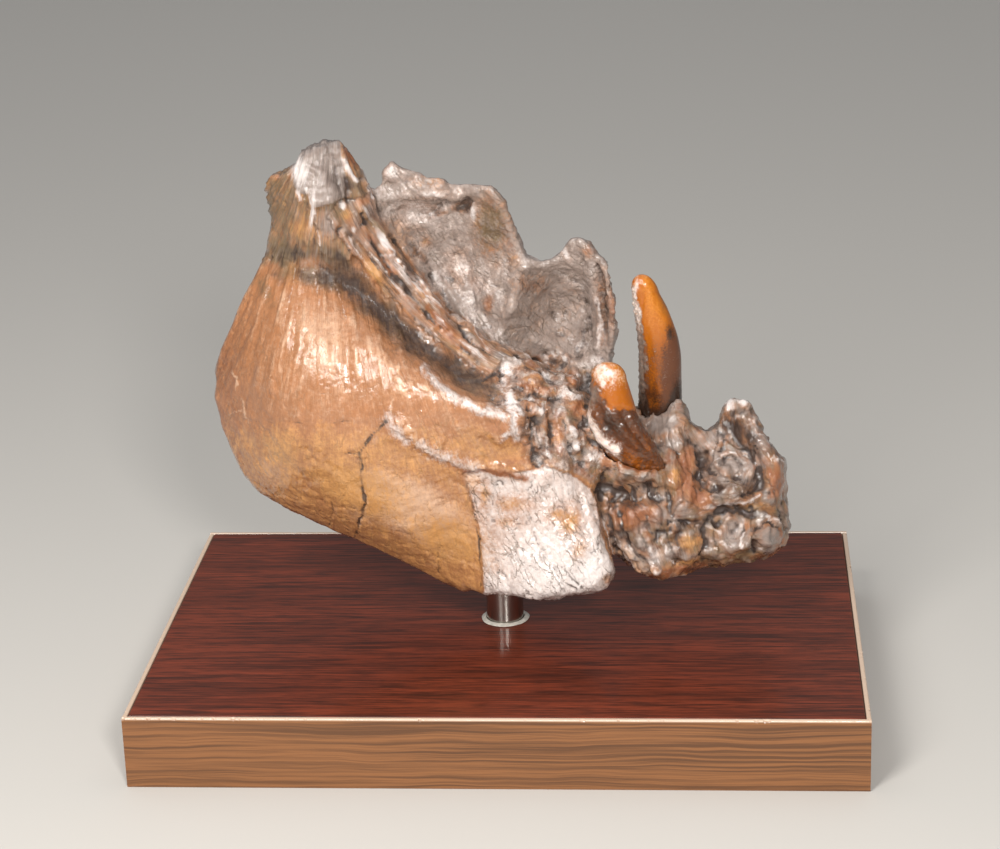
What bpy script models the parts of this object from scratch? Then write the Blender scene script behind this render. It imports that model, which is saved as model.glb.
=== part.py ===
"""A broken piece of fossil mammoth jaw with two peg teeth, on a steel post in a laminate board.

Frame: metres, +Z up, +X to the right, the shown face of the fossil towards -Y.
The origin is the centre of the board's underside.

The bone is drawn as reliefs. A relief is an outline on the upright plane y = 0, with one sheet in
front of that plane and one behind it, and the depths run along lines from one far point, FAN_POINT,
so that an outline stays true from there whatever its depth. Tables are in millimetres.
"""

import bmesh
import bpy
import numpy as np
from mathutils import Vector, noise

MM = 0.001

# Board: a laminated board with a strip glued along each edge.
BOARD_WIDTH = 300.0
BOARD_DEPTH = 200.0
BOARD_HEIGHT = 31.0
STRIP = 2.0
GLUE_LINE = 0.3
EDGE_BREAK = 0.4

# Post: a round steel bar, set in the board and in the bone.
POST_RADIUS = 8.0
POST_X = -2.0
POST_FOOT = 9.0
POST_TOP = 76.0
POST_CHAMFER = 0.6
POST_SIDES = 32
BEAD_WIDTH = 2.2
BEAD_HEIGHT = 0.9

FIT_GAP = 0.3

# Bone.
FAN_POINT = (88.0, -1025.0, 485.0)
SLAB = 8.0
RELIEF_STEP = 1.6
SKIN_STEP = 1.5
BONE_FACES = 7400
SEED = Vector((3.1, 7.7, 1.3))

# Outline rows: x, z, rim depth, rounding towards the front, rounding towards the back.
BODY_OUTLINE = [
    # broken end of the neck
    (-94.5, 228.5, 0, 4, 4), (-88, 231, 0, 3, 3), (-82, 233.5, 0, 3, 3), (-78, 238, 0, 3, 3),
    (-72, 242, 1, 3, 3), (-67, 243, 2, 3, 3), (-60.5, 241, 2, 3, 3), (-57, 234, 2, 5, 5),
    (-54, 226, 1, 6, 6), (-51.5, 219, 0, 6, 6),
    # broken upper edge, from the neck down to the front block
    (-46, 206, 0, 6, 8), (-38, 192, 0, 6, 8), (-27, 178, 0, 6, 8), (-15, 165, 0, 6, 8),
    (-2, 156, 0, 6, 8), (12, 150, 0, 6, 8), (26, 143, -4, 6, 8), (36, 132, -8, 6, 8),
    (41, 119, -10, 8, 10), (42, 105, -14, 8, 12), (40, 93, -22, 5, 20),
    # glossy plate: its right edge and its foot
    (39, 84, -30, 4, 26), (41, 72, -34, 4, 30), (44, 60, -40, 4, 36), (45.5, 52, -43, 4, 40),
    (43, 46, -44, 4, 42), (36, 43, -45, 4, 44), (24, 40.5, -46, 4, 46), (10, 39.5, -46, 4, 46),
    (-2, 42, -42, 4, 44), (-11, 41.5, -36, 4, 42), (-14, 44.5, -30, 5, 40), (-20, 43, -26, 8, 38),
    # lower edge of the jaw
    (-28, 47.5, -22, 12, 34), (-40, 54.5, -19, 15, 34), (-54, 62, -17, 18, 34),
    (-68, 69, -15, 21, 34), (-82, 75.5, -13, 24, 33), (-95, 82.5, -11, 25, 32),
    (-106, 89.5, -9, 27, 31), (-112, 97, -8, 29, 30), (-116.5, 107, -7, 32, 30),
    (-120.5, 120, -6, 36, 31), (-122.8, 134, -5, 38, 32), (-121.3, 145, -4, 38, 32),
    (-117, 157, -3, 36, 30), (-110.5, 171, -2, 32, 27), (-103, 184, -1, 25, 22),
    (-97, 194.5, 0, 19, 18), (-94, 204, 0, 16, 16), (-94, 215, 0, 13, 13), (-95, 223, 0, 9, 9),
]
WALL_OUTLINE = [
    (-53, 214, 4, 4, 5), (-49.5, 223, 4, 3, 4), (-46.5, 226, 4, 2, 3), (-47.5, 230.5, 4, 2, 3),
    (-42.5, 234.5, 4, 2, 3), (-38, 232, 4, 2, 3), (-35, 230, 5, 2, 3), (-31, 230.5, 5, 2, 3),
    (-27, 228, 5, 2, 3), (-23, 229, 6, 2, 3), (-20, 227.5, 6, 2, 3), (-17.3, 222, 6, 2, 3),
    (-15, 226, 6, 2, 3), (-8, 225, 5, 2, 3), (-2, 224.5, 5, 2, 3), (1.5, 221, 4, 2, 3),
    (4, 214, 3, 2, 4), (7, 206, 3, 2, 4), (10, 197, 3, 2, 4), (13, 193, 4, 2, 5),
    (18, 191.5, 5, 2, 5), (24, 192.5, 5, 2, 4), (27, 197, 5, 2, 4), (30, 200.5, 5, 2, 3),
    (34, 202, 4, 2, 3), (38, 200, 3, 2, 4), (41, 194, 2, 2, 4), (44.5, 192, 1, 2, 4),
    (47, 185, 1, 2, 5), (48, 178, 1, 3, 6), (48.6, 170, 1, 3, 7), (48.6, 162, 2, 3, 8),
    (47.2, 154, 2, 3, 9), (45, 145, 3, 4, 10),
    # hidden behind the body
    (44, 130, 4, 8, 12), (36, 112, 4, 8, 16), (10, 100, 4, 8, 20), (-30, 105, 4, 8, 20),
    (-58, 125, 4, 8, 20), (-72, 160, 3, 8, 16), (-64, 195, 3, 8, 12),
]
BLOCK_OUTLINE = [
    # collar of the tall tooth and the saddle behind it
    (30, 131, -6, 6, 10), (40, 132, -6, 6, 8), (50, 129, -4, 5, 8), (54, 126, -2, 4, 6),
    (57, 127, 2, 3, 5), (62, 128, 4, 3, 5), (69, 129, 4, 3, 5), (74.5, 132, 2, 3, 5),
    (76.5, 127.5, 1, 3, 6), (79, 121.5, 0, 3, 6), (82, 117.5, 0, 3, 6), (85, 115.5, 0, 3, 6),
    (88, 118, 0, 3, 5),
    # broken peak and the front end
    (91, 122, 0, 3, 5), (94, 128, 0, 3, 4), (97, 129.8, 0, 2, 3), (99.5, 128.6, 0, 2, 3),
    (102.5, 129.6, 0, 2, 3), (104.5, 126.5, 0, 3, 4), (106, 121, -1, 4, 6), (109, 115, -2, 5, 8),
    (112, 109, -3, 5, 9), (116, 104.5, -4, 4, 10), (119, 103, -4, 2, 8), (118, 97, -5, 5, 12),
    (118, 88, -6, 7, 15), (119.5, 77, -8, 9, 17), (118.5, 68, -10, 10, 18), (115.5, 61.5, -13, 10, 20),
    (110, 57.5, -16, 9, 23), (103, 58.5, -18, 8, 25), (96, 57.5, -19, 8, 26), (87, 55.5, -20, 8, 28),
    (78, 53, -21, 8, 30), (70, 51, -23, 7, 30), (63.5, 50, -24, 6, 30), (56, 53, -25, 5, 28),
    (50, 57, -26, 4, 26), (45, 64, -26, 4, 24), (41, 72, -24, 4, 22), (38, 82, -20, 4, 20),
    # hidden behind the body
    (32, 92, -6, 8, 14), (24, 104, -4, 8, 14), (22, 120, -4, 8, 12),
]

# Sheet rows: x, z, depth. Each sheet is the smoothest surface through its rows.
BODY_FRONT = [
    (-92, 226, -10), (-76, 238, -15), (-62, 232, -12), (-74, 222, -20), (-90, 205, -13),
    (-74, 204, -20), (-58, 208, -15), (-98, 188, -15), (-80, 188, -21), (-62, 190, -18),
    (-80, 179, -23), (-62, 174, -24), (-45, 164, -25), (-30, 152, -27), (-14, 142, -29),
    (-105, 168, -24), (-85, 166, -31), (-65, 160, -35), (-50, 151, -39), (-35, 143, -42),
    (-22, 134, -44), (-5, 128, -45), (8, 124, -43), (-118, 140, -20), (-105, 140, -34),
    (-85, 138, -43), (-60, 133, -46), (-112, 115, -28), (-95, 112, -40), (-70, 110, -47),
    (-45, 110, -48), (-20, 112, -47), (0, 108, -44), (-100, 95, -32), (-80, 88, -39),
    (-60, 80, -41), (-40, 75, -40), (-20, 75, -39), (-45, 62, -34), (-25, 52, -33),
    (5, 95, -42), (25, 95, -40), (38, 92, -33), (0, 70, -43), (20, 70, -46), (38, 70, -43),
    (5, 47, -48), (25, 47, -50), (42, 52, -46), (-50, 207, -8), (-40, 190, -10),
    (-30, 177, -13), (-16, 163, -15), (0, 153, -18), (15, 147, -20), (28, 139, -23),
    (20, 130, -33), (30, 118, -34), (15, 112, -41), (36, 105, -32), (38, 125, -24),
]
BODY_BACK = [
    (-74, 232, 12), (-74, 204, 16), (-60, 215, 12), (-100, 160, 20), (-85, 140, 31),
    (-60, 120, 34), (-100, 110, 23), (-70, 90, 27), (-40, 85, 30), (0, 75, 25), (25, 65, 20),
    (30, 105, 20), (-45, 170, 24), (-20, 150, 26), (10, 135, 22), (-75, 180, 20),
]
WALL_FRONT = [
    (-46, 224, 2), (-40, 230, 1), (-25, 225, 3), (-8, 221, 2), (3, 210, 0), (-40, 215, 6),
    (-25, 211, 9), (-10, 211, 8), (-47, 205, 3), (-28, 198, 13), (-10, 195, 12), (3, 197, 4),
    (-30, 184, 13), (-12, 180, 12), (2, 182, 2), (-20, 168, 8), (-5, 165, 4), (9, 188, 0),
    (6, 170, -1), (20, 188, 3), (30, 195, 2), (22, 178, 14), (30, 170, 16), (20, 165, 14),
    (13, 160, 7), (36, 185, 4), (40, 175, 5), (45.5, 180, -3), (48, 165, -3), (40, 160, 5),
    (30, 155, 11), (20, 148, 2), (35, 145, 4), (0, 145, 0), (-30, 150, 5), (20, 120, 0),
]
WALL_BACK = [
    (-42, 228, 8), (-25, 224, 10), (0, 216, 8), (-40, 205, 17), (-25, 205, 20), (20, 188, 12),
    (35, 196, 10), (45, 175, 11), (20, 170, 24), (-30, 180, 26), (-10, 160, 29), (30, 150, 27),
    (0, 120, 28), (-40, 140, 27),
]
BLOCK_FRONT = [
    (33, 127, -24), (45, 122, -25), (45, 108, -31), (57, 98, -35), (42, 95, -27), (45, 80, -31),
    (55, 76, -37), (50, 63, -31), (60, 59, -36), (65, 86, -34), (72, 100, -25), (61, 114, -10),
    (68, 115, -14), (76, 120, -9), (58, 123, -1), (66, 125, -5), (73, 129, -5), (84, 111, -7),
    (92, 100, -14), (98, 122, -7), (104, 110, -14), (112, 98, -16), (80, 80, -32), (95, 82, -31),
    (98, 68, -28), (108, 68, -34), (116, 72, -22),
    (80, 60, -34), (95, 62, -31), (115, 88, -18),
]
BLOCK_BACK = [
    (60, 90, 19), (100, 90, 15), (66, 122, 11), (84, 110, 12), (100, 115, 9), (60, 62, 10),
    (100, 66, 8), (35, 100, 20), (40, 120, 16),
]

# Strokes: height towards the front (below zero for a groove), width, then the points x, z.
BODY_STROKES = [
    (2.5, 7, [(-52, 157), (-38, 146), (-26, 137), (-12, 130), (6, 126)]),
    (-4.5, 8, [(-92, 194), (-74, 188), (-56, 176), (-42, 163), (-28, 151), (-14, 142), (4, 136)]),
    (2.6, 3.5, [(-62, 240), (-58, 229), (-53, 216)]),
    (-1.8, 3, [(-66, 236), (-64, 225), (-59, 214)]),
    (1.6, 4, [(-84, 222), (-76, 217), (-68, 216)]),
    (3.2, 2.6, [(-60, 214), (-50, 196), (-38, 180), (-26, 165), (-12, 151)]),
    (2.6, 2.4, [(-68, 208), (-56, 190), (-45, 175), (-34, 163), (-22, 151)]),
    (2.4, 2.2, [(-52, 214), (-44, 198), (-32, 182), (-20, 168), (-6, 156)]),
    (-2.2, 2.0, [(-56, 208), (-46, 190), (-35, 175), (-22, 160)]),
    (1.6, 6, [(-44, 118), (-28, 108), (-12, 101), (4, 98), (22, 99)]),
    (-2.4, 3, [(6, 134), (12, 122), (10, 110), (16, 100)]),
    (-2.4, 2.5, [(20, 142), (24, 128), (22, 114), (28, 104)]),
    (-2.0, 2.5, [(36, 118), (34, 106), (30, 98)]),
]
WALL_STROKES = [
    (3.0, 3, [(9, 190), (7, 178), (1, 165), (-4, 152)]),
    (2.5, 3, [(-44, 219), (-34, 222), (-24, 221), (-17, 217)]),
    (-2.6, 2, [(-30, 213), (-22, 216), (-12, 216)]),
    (3.0, 2, [(37, 197), (39, 182), (41, 166), (40, 152)]),
    (-3.0, 1.8, [(41, 190), (43, 176), (44.5, 162), (43, 150)]),
    (2.4, 2, [(45, 188), (47.5, 174), (48.5, 160), (47, 149)]),
    (-3.0, 2.5, [(34, 184), (36, 172), (36, 160), (33, 152)]),
    (2.0, 2, [(-38, 196), (-26, 182), (-14, 168), (-4, 156)]),
    (-2.0, 3, [(10, 186), (20, 184), (30, 184)]),
]
BLOCK_STROKES = [
    (3.0, 2.4, [(84, 117), (88, 107), (93, 98)]),
    (-3.0, 4, [(70, 112), (78, 100), (84, 90)]),
    (-4.0, 3, [(90, 80), (96, 82), (103, 80)]),
    (-2.5, 4.5, [(95, 76), (99, 74)]),
    (3.0, 2.5, [(88, 72), (92, 67), (100, 65), (106, 70)]),
    (3.0, 4.5, [(113, 68), (114, 67)]),
    (-3.0, 2.4, [(106, 75), (108, 68), (107, 61)]),
    (2.2, 2, [(43, 84), (45, 74), (50, 64), (58, 56)]),
    (-2.4, 2, [(47, 83), (50, 73), (55, 63), (63, 54)]),
    (2.2, 2, [(52, 82), (55, 72), (61, 62), (69, 54)]),
    (-2.2, 2, [(57, 80), (61, 70), (67, 61), (75, 54)]),
    (-3.5, 5, [(48, 90), (58, 90), (68, 86)]),
    (3.0, 2.5, [(74, 84), (84, 86), (94, 88), (102, 87)]),
    (2.5, 3, [(104, 124), (108, 112), (113, 100), (116, 88)]),
    (-3.0, 3, [(96, 120), (100, 108), (98, 96)]),
]
# The glossy plate stands proud of the bone to its left by more and more towards its foot.
PLATE_EDGE_X = -11.0
PLATE_TOP_Z = 96.0
PLATE_STEP = 3.5
PLATE_RAMP = 2.0

# Roughness rows: x, z, size of the lumps.
ROUGHNESS = [
    (-90, 215, 0.5), (-80, 160, 0.1), (-100, 120, 0.1), (-60, 90, 0.15), (-30, 75, 0.2),
    (-45, 130, 0.1), (10, 60, 0.5), (30, 80, 0.6), (-45, 200, 1.6), (-25, 165, 1.8),
    (0, 145, 2.2), (15, 125, 2.4), (30, 110, 2.4), (-20, 200, 1.5), (-10, 222, 1.5),
    (20, 175, 1.2), (45, 175, 1.6), (60, 100, 2.2), (55, 70, 1.8), (90, 90, 2.4),
    (105, 70, 2.2), (98, 120, 1.8), (118, 90, 1.4), (-20, 125, 0.4), (-5, 110, 0.8),
]
LUMP_SIZE = 9.0

# Sockets that open upwards between the body and the wall: centre x, depth, z, then half sizes.
SOCKETS = [
    ((-27, 0, 163), (20, 6.5, 30)),
    ((17, 1, 146), (13, 6.5, 24)),
]

# Tooth rings: centre x, depth, z, half width, half thickness. A dome closes the last ring.
TALL_TOOTH = [
    (65.5, 5.0, 104, 4.5, 4.0), (65.6, 4.5, 112, 7.0, 5.6), (65.9, 3.2, 121, 9.0, 6.4),
    (66.2, 2.0, 131, 9.2, 6.8), (66.4, 1.0, 140, 9.0, 7.0), (66.3, 0.0, 150, 8.9, 6.6),
    (65.2, -1.0, 160, 8.3, 6.2), (62.9, -1.6, 170, 7.2, 5.6), (60.8, -2.0, 177.5, 5.7, 4.8),
]
TALL_DOME = (-1.5, -0.2, 8.0)
SHORT_TOOTH = [
    (64.0, -19, 92, 6.0, 5.5), (59.5, -23, 99, 9.5, 8.0), (54.5, -26, 106, 11.5, 9.0),
    (50.5, -27.5, 114, 11.6, 9.0), (47.5, -28, 121, 10.8, 8.6), (46.2, -28, 128, 9.6, 8.0),
    (45.4, -28, 135, 8.4, 7.4), (44.9, -28, 140.5, 7.4, 6.8),
]
SHORT_DOME = (-0.4, 0.0, 7.2)
DOME_RINGS = 3
TOOTH_SIDES = 20

BONE_COLOUR = (0.42, 0.20, 0.08, 1)
TOOTH_COLOUR = (0.60, 0.20, 0.03, 1)
BOARD_COLOUR = (0.06, 0.018, 0.012, 1)
STRIP_COLOUR = (0.30, 0.13, 0.05, 1)
STEEL_COLOUR = (0.55, 0.53, 0.50, 1)
GLUE_COLOUR = (0.45, 0.42, 0.42, 1)


def clear_scene():
    for obj in list(bpy.data.objects):
        bpy.data.objects.remove(obj)


def material(name, colour, roughness, metallic=0.0):
    made = bpy.data.materials.new(name)
    made.use_nodes = True
    shader = made.node_tree.nodes["Principled BSDF"]
    shader.inputs["Base Color"].default_value = colour
    shader.inputs["Roughness"].default_value = roughness
    shader.inputs["Metallic"].default_value = metallic
    return made


def new_object(name, points, faces, surface=None):
    """An object from points in millimetres."""
    mesh = bpy.data.meshes.new(name)
    mesh.from_pydata((np.asarray(points, float) * MM).tolist(), [], faces)
    obj = bpy.data.objects.new(name, mesh)
    bpy.context.scene.collection.objects.link(obj)
    if surface:
        mesh.materials.append(surface)
    return obj


def face_outwards(obj):
    shape = bmesh.new()
    shape.from_mesh(obj.data)
    bmesh.ops.recalc_face_normals(shape, faces=shape.faces)
    shape.to_mesh(obj.data)
    shape.free()


def apply_modifiers(obj):
    bpy.context.view_layer.update()
    evaluated = obj.evaluated_get(bpy.context.evaluated_depsgraph_get())
    finished = bpy.data.meshes.new_from_object(evaluated)
    obj.modifiers.clear()
    obj.data = finished


def voxel_skin(obj, step):
    """Replaces the mesh by one even skin round all of its closed parts."""
    skin = obj.modifiers.new("Skin", "REMESH")
    skin.mode = "VOXEL"
    skin.voxel_size = step * MM
    apply_modifiers(obj)


def read_points(obj):
    points = np.empty(len(obj.data.vertices) * 3)
    obj.data.vertices.foreach_get("co", points)
    return points.reshape(-1, 3) / MM


def write_points(obj, points):
    obj.data.vertices.foreach_set("co", (points * MM).ravel())
    obj.data.update()


def fan_out(points):
    """Moves points drawn on y = 0 with a depth along the line to FAN_POINT: x and z follow the depth."""
    far = np.array(FAN_POINT)
    plane = points * (1, 0, 1)
    share = points[:, 1:2] / far[1]
    return plane + (far - plane) * share


def thin_plate(rows, places):
    """The smoothest sheet through the rows x, z, value, read at each place."""
    rows = np.array(rows, float)

    def bend(a, b):
        square = ((a[:, None] - b[None]) ** 2).sum(2) + 1e-9
        return square * np.log(square)

    def flat(a):
        return np.column_stack([np.ones(len(a)), a])

    knots = rows[:, :2]
    system = np.block(
        [[bend(knots, knots), flat(knots)], [flat(knots).T, np.zeros((3, 3))]]
    )
    weights = np.linalg.solve(system, np.append(rows[:, 2], (0, 0, 0)))
    return bend(places, knots) @ weights[:-3] + flat(places) @ weights[-3:]


def along_line(places, line):
    """Each place's distance from a line of points."""
    line = np.array(line, float)
    nearest = np.full(len(places), 1e9)
    for start, end in zip(line, line[1:]):
        run = end - start
        share = np.clip((places - start) @ run / (run @ run), 0, 1)
        gap = np.hypot(*(places - start - share[:, None] * run).T)
        nearest = np.minimum(nearest, gap)
    return nearest


def add_strokes(depth, places, strokes):
    """Ridges and grooves with a bell-shaped section."""
    for height, width, line in strokes:
        depth = depth - height * np.exp(-((along_line(places, line) / width) ** 2))
    return depth


def fullness(places, outline):
    """Rim depth, and how full the front and back sheets are, from 0 at the outline to 1 inside it.

    The outline is cut into short runs. Each pulls on a place by its length over the cube of its
    distance, so a straight edge gives distance / rounding, which a quarter ellipse turns to fullness.
    """
    rows = np.array(outline, float)
    following = np.roll(rows, -1, axis=0)
    cuts = 5
    shares = (np.arange(cuts) + 0.5)[:, None, None] / cuts
    runs = (rows + (following - rows) * shares).reshape(-1, 5)
    lengths = np.tile(np.hypot(*(following - rows)[:, :2].T) / cuts, cuts)
    gaps = np.sqrt(((places[:, None] - runs[None, :, :2]) ** 2).sum(2)) + 0.4
    pull = lengths / (2 * gaps**3)
    rim = (pull @ runs[:, 2]) / pull.sum(1)

    def quarter_ellipse(rounding):
        share = np.clip((pull @ rounding**2) ** -0.5, 0, 1)
        return np.sqrt(1 - (1 - share) ** 2)

    return rim, quarter_ellipse(runs[:, 3]), quarter_ellipse(runs[:, 4])


def relief(name, outline, front_rows, back_rows, strokes, shape_front=None):
    """A closed body between a front and a back sheet that meet at the outline."""
    points = [(row[0], side, row[1]) for side in (-SLAB, SLAB) for row in outline]
    count = len(outline)
    faces = [list(range(count)), list(range(2 * count - 1, count - 1, -1))]
    for a in range(count):
        b = (a + 1) % count
        faces.append([b, a, a + count, b + count])
    obj = new_object(name, points, faces)
    face_outwards(obj)
    voxel_skin(obj, RELIEF_STEP)
    points = read_points(obj)
    places = points[:, [0, 2]]
    rim, front_full, back_full = fullness(places, outline)
    front = add_strokes(thin_plate(front_rows, places), places, strokes)
    if shape_front:
        front = shape_front(front, places)
    back = thin_plate(back_rows, places)
    front = rim + (front - rim) * front_full
    back = rim + (back - rim) * back_full
    share = np.clip(points[:, 1] / (SLAB - RELIEF_STEP) / 2 + 0.5, 0, 1)
    points[:, 1] = front + (np.maximum(back, front + 1) - front) * share
    write_points(obj, fan_out(points))
    return obj


def plate_step(front, places):
    """Brings the glossy plate forward of the bone beside it."""
    across = np.clip((places[:, 0] - PLATE_EDGE_X) / PLATE_RAMP + 0.5, 0, 1)
    down = np.clip((PLATE_TOP_Z - places[:, 1]) / (PLATE_TOP_Z - BOARD_HEIGHT), 0, 1)
    return front - PLATE_STEP * down * across * across * (3 - 2 * across)


def ellipsoid(name, centre, half_sizes):
    shape = bmesh.new()
    bmesh.ops.create_icosphere(shape, subdivisions=3, radius=1)
    mesh = bpy.data.meshes.new(name)
    shape.to_mesh(mesh)
    shape.free()
    obj = bpy.data.objects.new(name, mesh)
    bpy.context.scene.collection.objects.link(obj)
    centre = fan_out(np.array([centre], float))[0]
    points = np.array([v.co for v in mesh.vertices]) * half_sizes + centre
    write_points(obj, points)
    return obj


def join(objects, name):
    """One object that holds the closed parts of all of them."""
    points, faces, offset = [], [], 0
    for obj in objects:
        points.append(read_points(obj))
        faces += [[v + offset for v in face.vertices] for face in obj.data.polygons]
        offset += len(obj.data.vertices)
        bpy.data.objects.remove(obj)
    return new_object(name, np.concatenate(points), faces)


def boolean(obj, other, operation):
    cut = obj.modifiers.new(operation.title(), "BOOLEAN")
    cut.operation = operation
    cut.object = other
    apply_modifiers(obj)
    bpy.data.objects.remove(other)


def roughen(obj):
    """Lumps and hollows along the skin's normals, as high as ROUGHNESS says for each place."""
    points = read_points(obj)
    normals = np.array([v.normal for v in obj.data.vertices])
    far = np.array(FAN_POINT)
    on_plane = points + (far - points) * (-points[:, 1:2] / (far[1] - points[:, 1:2]))
    size = np.clip(thin_plate(ROUGHNESS, on_plane[:, [0, 2]]), 0.05, 2.6)
    lumps = np.array(
        [noise.fractal(Vector(p) / LUMP_SIZE + SEED, 0.9, 2.1, 3) for p in points]
    )
    write_points(obj, points + normals * (size * lumps)[:, None])


def dome(ring, reach):
    """Rings that round the end of a peg, ring being its last one and reach the way to its tip."""
    x, depth, z, wide, thick = ring
    rings = []
    for level in range(1, DOME_RINGS + 1):
        turn = level / (DOME_RINGS + 1) * np.pi / 2
        rise, narrow = np.sin(turn), np.cos(turn)
        rings.append(
            (
                x + reach[0] * rise,
                depth + reach[1] * rise,
                z + reach[2] * rise,
                wide * narrow,
                thick * narrow,
            )
        )
    return rings


def tooth(name, rings, reach, surface, grow=0.0):
    """A peg: rings carried up its axis, a dome at the tip and a flat root."""
    last = rings[-1]
    rings = rings + dome(last, reach)
    tip = (last[0] + reach[0], last[1] + reach[1], last[2] + reach[2] + grow)
    turn = np.arange(TOOTH_SIDES) * 2 * np.pi / TOOTH_SIDES
    points = []
    for x, depth, z, wide, thick in rings:
        across = x + (wide + grow) * np.cos(turn)
        along = depth + (thick + grow) * np.sin(turn)
        level = np.full(TOOTH_SIDES, z - grow if z == rings[0][2] else z)
        points.append(np.column_stack([across, along, level]))
    points = np.concatenate(points + [np.array([tip])])
    faces = [list(range(TOOTH_SIDES))]
    for level in range(len(rings) - 1):
        for side in range(TOOTH_SIDES):
            after = (side + 1) % TOOTH_SIDES
            low, high = level * TOOTH_SIDES, (level + 1) * TOOTH_SIDES
            faces.append([low + side, low + after, high + after, high + side])
    top = (len(rings) - 1) * TOOTH_SIDES
    for side in range(TOOTH_SIDES):
        faces.append([top + side, top + (side + 1) % TOOTH_SIDES, len(points) - 1])
    obj = new_object(name, fan_out(points), faces, surface)
    face_outwards(obj)
    obj.data.shade_smooth()
    return obj


def box(name, low, high, surface):
    """A bar between two corners, with its edges broken."""
    points = [
        (x, y, z) for z in (low[2], high[2]) for y in (low[1], high[1]) for x in (low[0], high[0])
    ]
    faces = [(0, 2, 3, 1), (4, 5, 7, 6), (0, 1, 5, 4), (2, 6, 7, 3), (0, 4, 6, 2), (1, 3, 7, 5)]
    obj = new_object(name, points, faces, surface)
    edges = obj.modifiers.new("Broken edges", "BEVEL")
    edges.width = EDGE_BREAK * MM
    edges.segments = 1
    return obj


def turned(name, profile, surface):
    """A body turned about the post's axis from a profile of radius and height, outer side downwards."""
    points = [(radius, 0, height) for radius, height in profile]
    edges = [(i, i + 1) for i in range(len(points) - 1)]
    mesh = bpy.data.meshes.new(name)
    mesh.from_pydata((np.array(points, float) * MM).tolist(), edges, [])
    obj = bpy.data.objects.new(name, mesh)
    bpy.context.scene.collection.objects.link(obj)
    spin = obj.modifiers.new("Turned", "SCREW")
    spin.steps = spin.render_steps = POST_SIDES
    spin.use_merge_vertices = True
    spin.merge_threshold = 0.00005
    obj.location.x = POST_X * MM
    if surface:
        mesh.materials.append(surface)
    return obj


def rod_profile(radius, low, high, chamfer):
    return [
        (0, high), (radius - chamfer, high), (radius, high - chamfer),
        (radius, low + chamfer), (radius - chamfer, low), (0, low),
    ]


def make_post(steel):
    post = turned("post", rod_profile(POST_RADIUS, POST_FOOT, POST_TOP, POST_CHAMFER), steel)
    post.data.shade_smooth()
    return post


def post_hole(name, low, high):
    hole = turned(name, rod_profile(POST_RADIUS + FIT_GAP, low, high, 0.2), None)
    apply_modifiers(hole)
    face_outwards(hole)
    hole.hide_render = True
    hole.display_type = "WIRE"
    return hole


def make_glue_bead(glue):
    """A low ring of glue where the post meets the board."""
    inner = POST_RADIUS + FIT_GAP
    foot = BOARD_HEIGHT + FIT_GAP
    profile = [
        (inner, foot + BEAD_HEIGHT), (inner + 0.35 * BEAD_WIDTH, foot + 0.8 * BEAD_HEIGHT),
        (inner + 0.75 * BEAD_WIDTH, foot + 0.35 * BEAD_HEIGHT), (inner + BEAD_WIDTH, foot),
        (inner, foot), (inner, foot + BEAD_HEIGHT),
    ]
    return turned("glue_bead", profile, glue)


def make_board(laminate, strip):
    half_width, half_depth = BOARD_WIDTH / 2, BOARD_DEPTH / 2
    inner = STRIP + GLUE_LINE
    board = box(
        "board",
        (-half_width + inner, -half_depth + inner, 0),
        (half_width - inner, half_depth - inner, BOARD_HEIGHT),
        laminate,
    )
    apply_modifiers(board)
    boolean(board, post_hole("board_hole", POST_FOOT - FIT_GAP, BOARD_HEIGHT + 5), "DIFFERENCE")
    for name, side in (("strip_front", -1), ("strip_back", 1)):
        near, far = sorted((side * half_depth, side * (half_depth - STRIP)))
        box(name, (-half_width, near, 0), (half_width, far, BOARD_HEIGHT), strip)
    for name, side in (("strip_left", -1), ("strip_right", 1)):
        near, far = sorted((side * half_width, side * (half_width - STRIP)))
        end = half_depth - inner
        box(name, (near, -end, 0), (far, end, BOARD_HEIGHT), strip)


def make_bone(surface):
    reliefs = [
        relief("body", BODY_OUTLINE, BODY_FRONT, BODY_BACK, BODY_STROKES, plate_step),
        relief("wall", WALL_OUTLINE, WALL_FRONT, WALL_BACK, WALL_STROKES),
        relief("block", BLOCK_OUTLINE, BLOCK_FRONT, BLOCK_BACK, BLOCK_STROKES),
    ]
    bone = join(reliefs, "jaw_bone")
    voxel_skin(bone, SKIN_STEP)
    for number, (centre, half_sizes) in enumerate(SOCKETS):
        boolean(bone, ellipsoid(f"socket_{number}", centre, half_sizes), "DIFFERENCE")
    voxel_skin(bone, SKIN_STEP)
    roughen(bone)
    thin = bone.modifiers.new("Fewer faces", "DECIMATE")
    thin.ratio = BONE_FACES / (2 * len(bone.data.polygons))
    apply_modifiers(bone)
    boolean(bone, post_hole("bone_hole", 20, POST_TOP + FIT_GAP), "DIFFERENCE")
    boolean(bone, tooth("tall_hole", TALL_TOOTH, TALL_DOME, None, FIT_GAP), "DIFFERENCE")
    boolean(bone, tooth("short_hole", SHORT_TOOTH, SHORT_DOME, None, FIT_GAP), "DIFFERENCE")
    bone.data.materials.append(surface)
    return bone


def main():
    clear_scene()
    make_board(
        material("dark laminate", BOARD_COLOUR, 0.3), material("wood-print strip", STRIP_COLOUR, 0.4)
    )
    make_post(material("polished steel", STEEL_COLOUR, 0.2, 1.0))
    make_glue_bead(material("clear glue", GLUE_COLOUR, 0.2))
    make_bone(material("varnished bone", BONE_COLOUR, 0.35))
    dentine = material("varnished dentine", TOOTH_COLOUR, 0.25)
    tooth("tall_tooth", TALL_TOOTH, TALL_DOME, dentine)
    tooth("short_tooth", SHORT_TOOTH, SHORT_DOME, dentine)


main()
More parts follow.
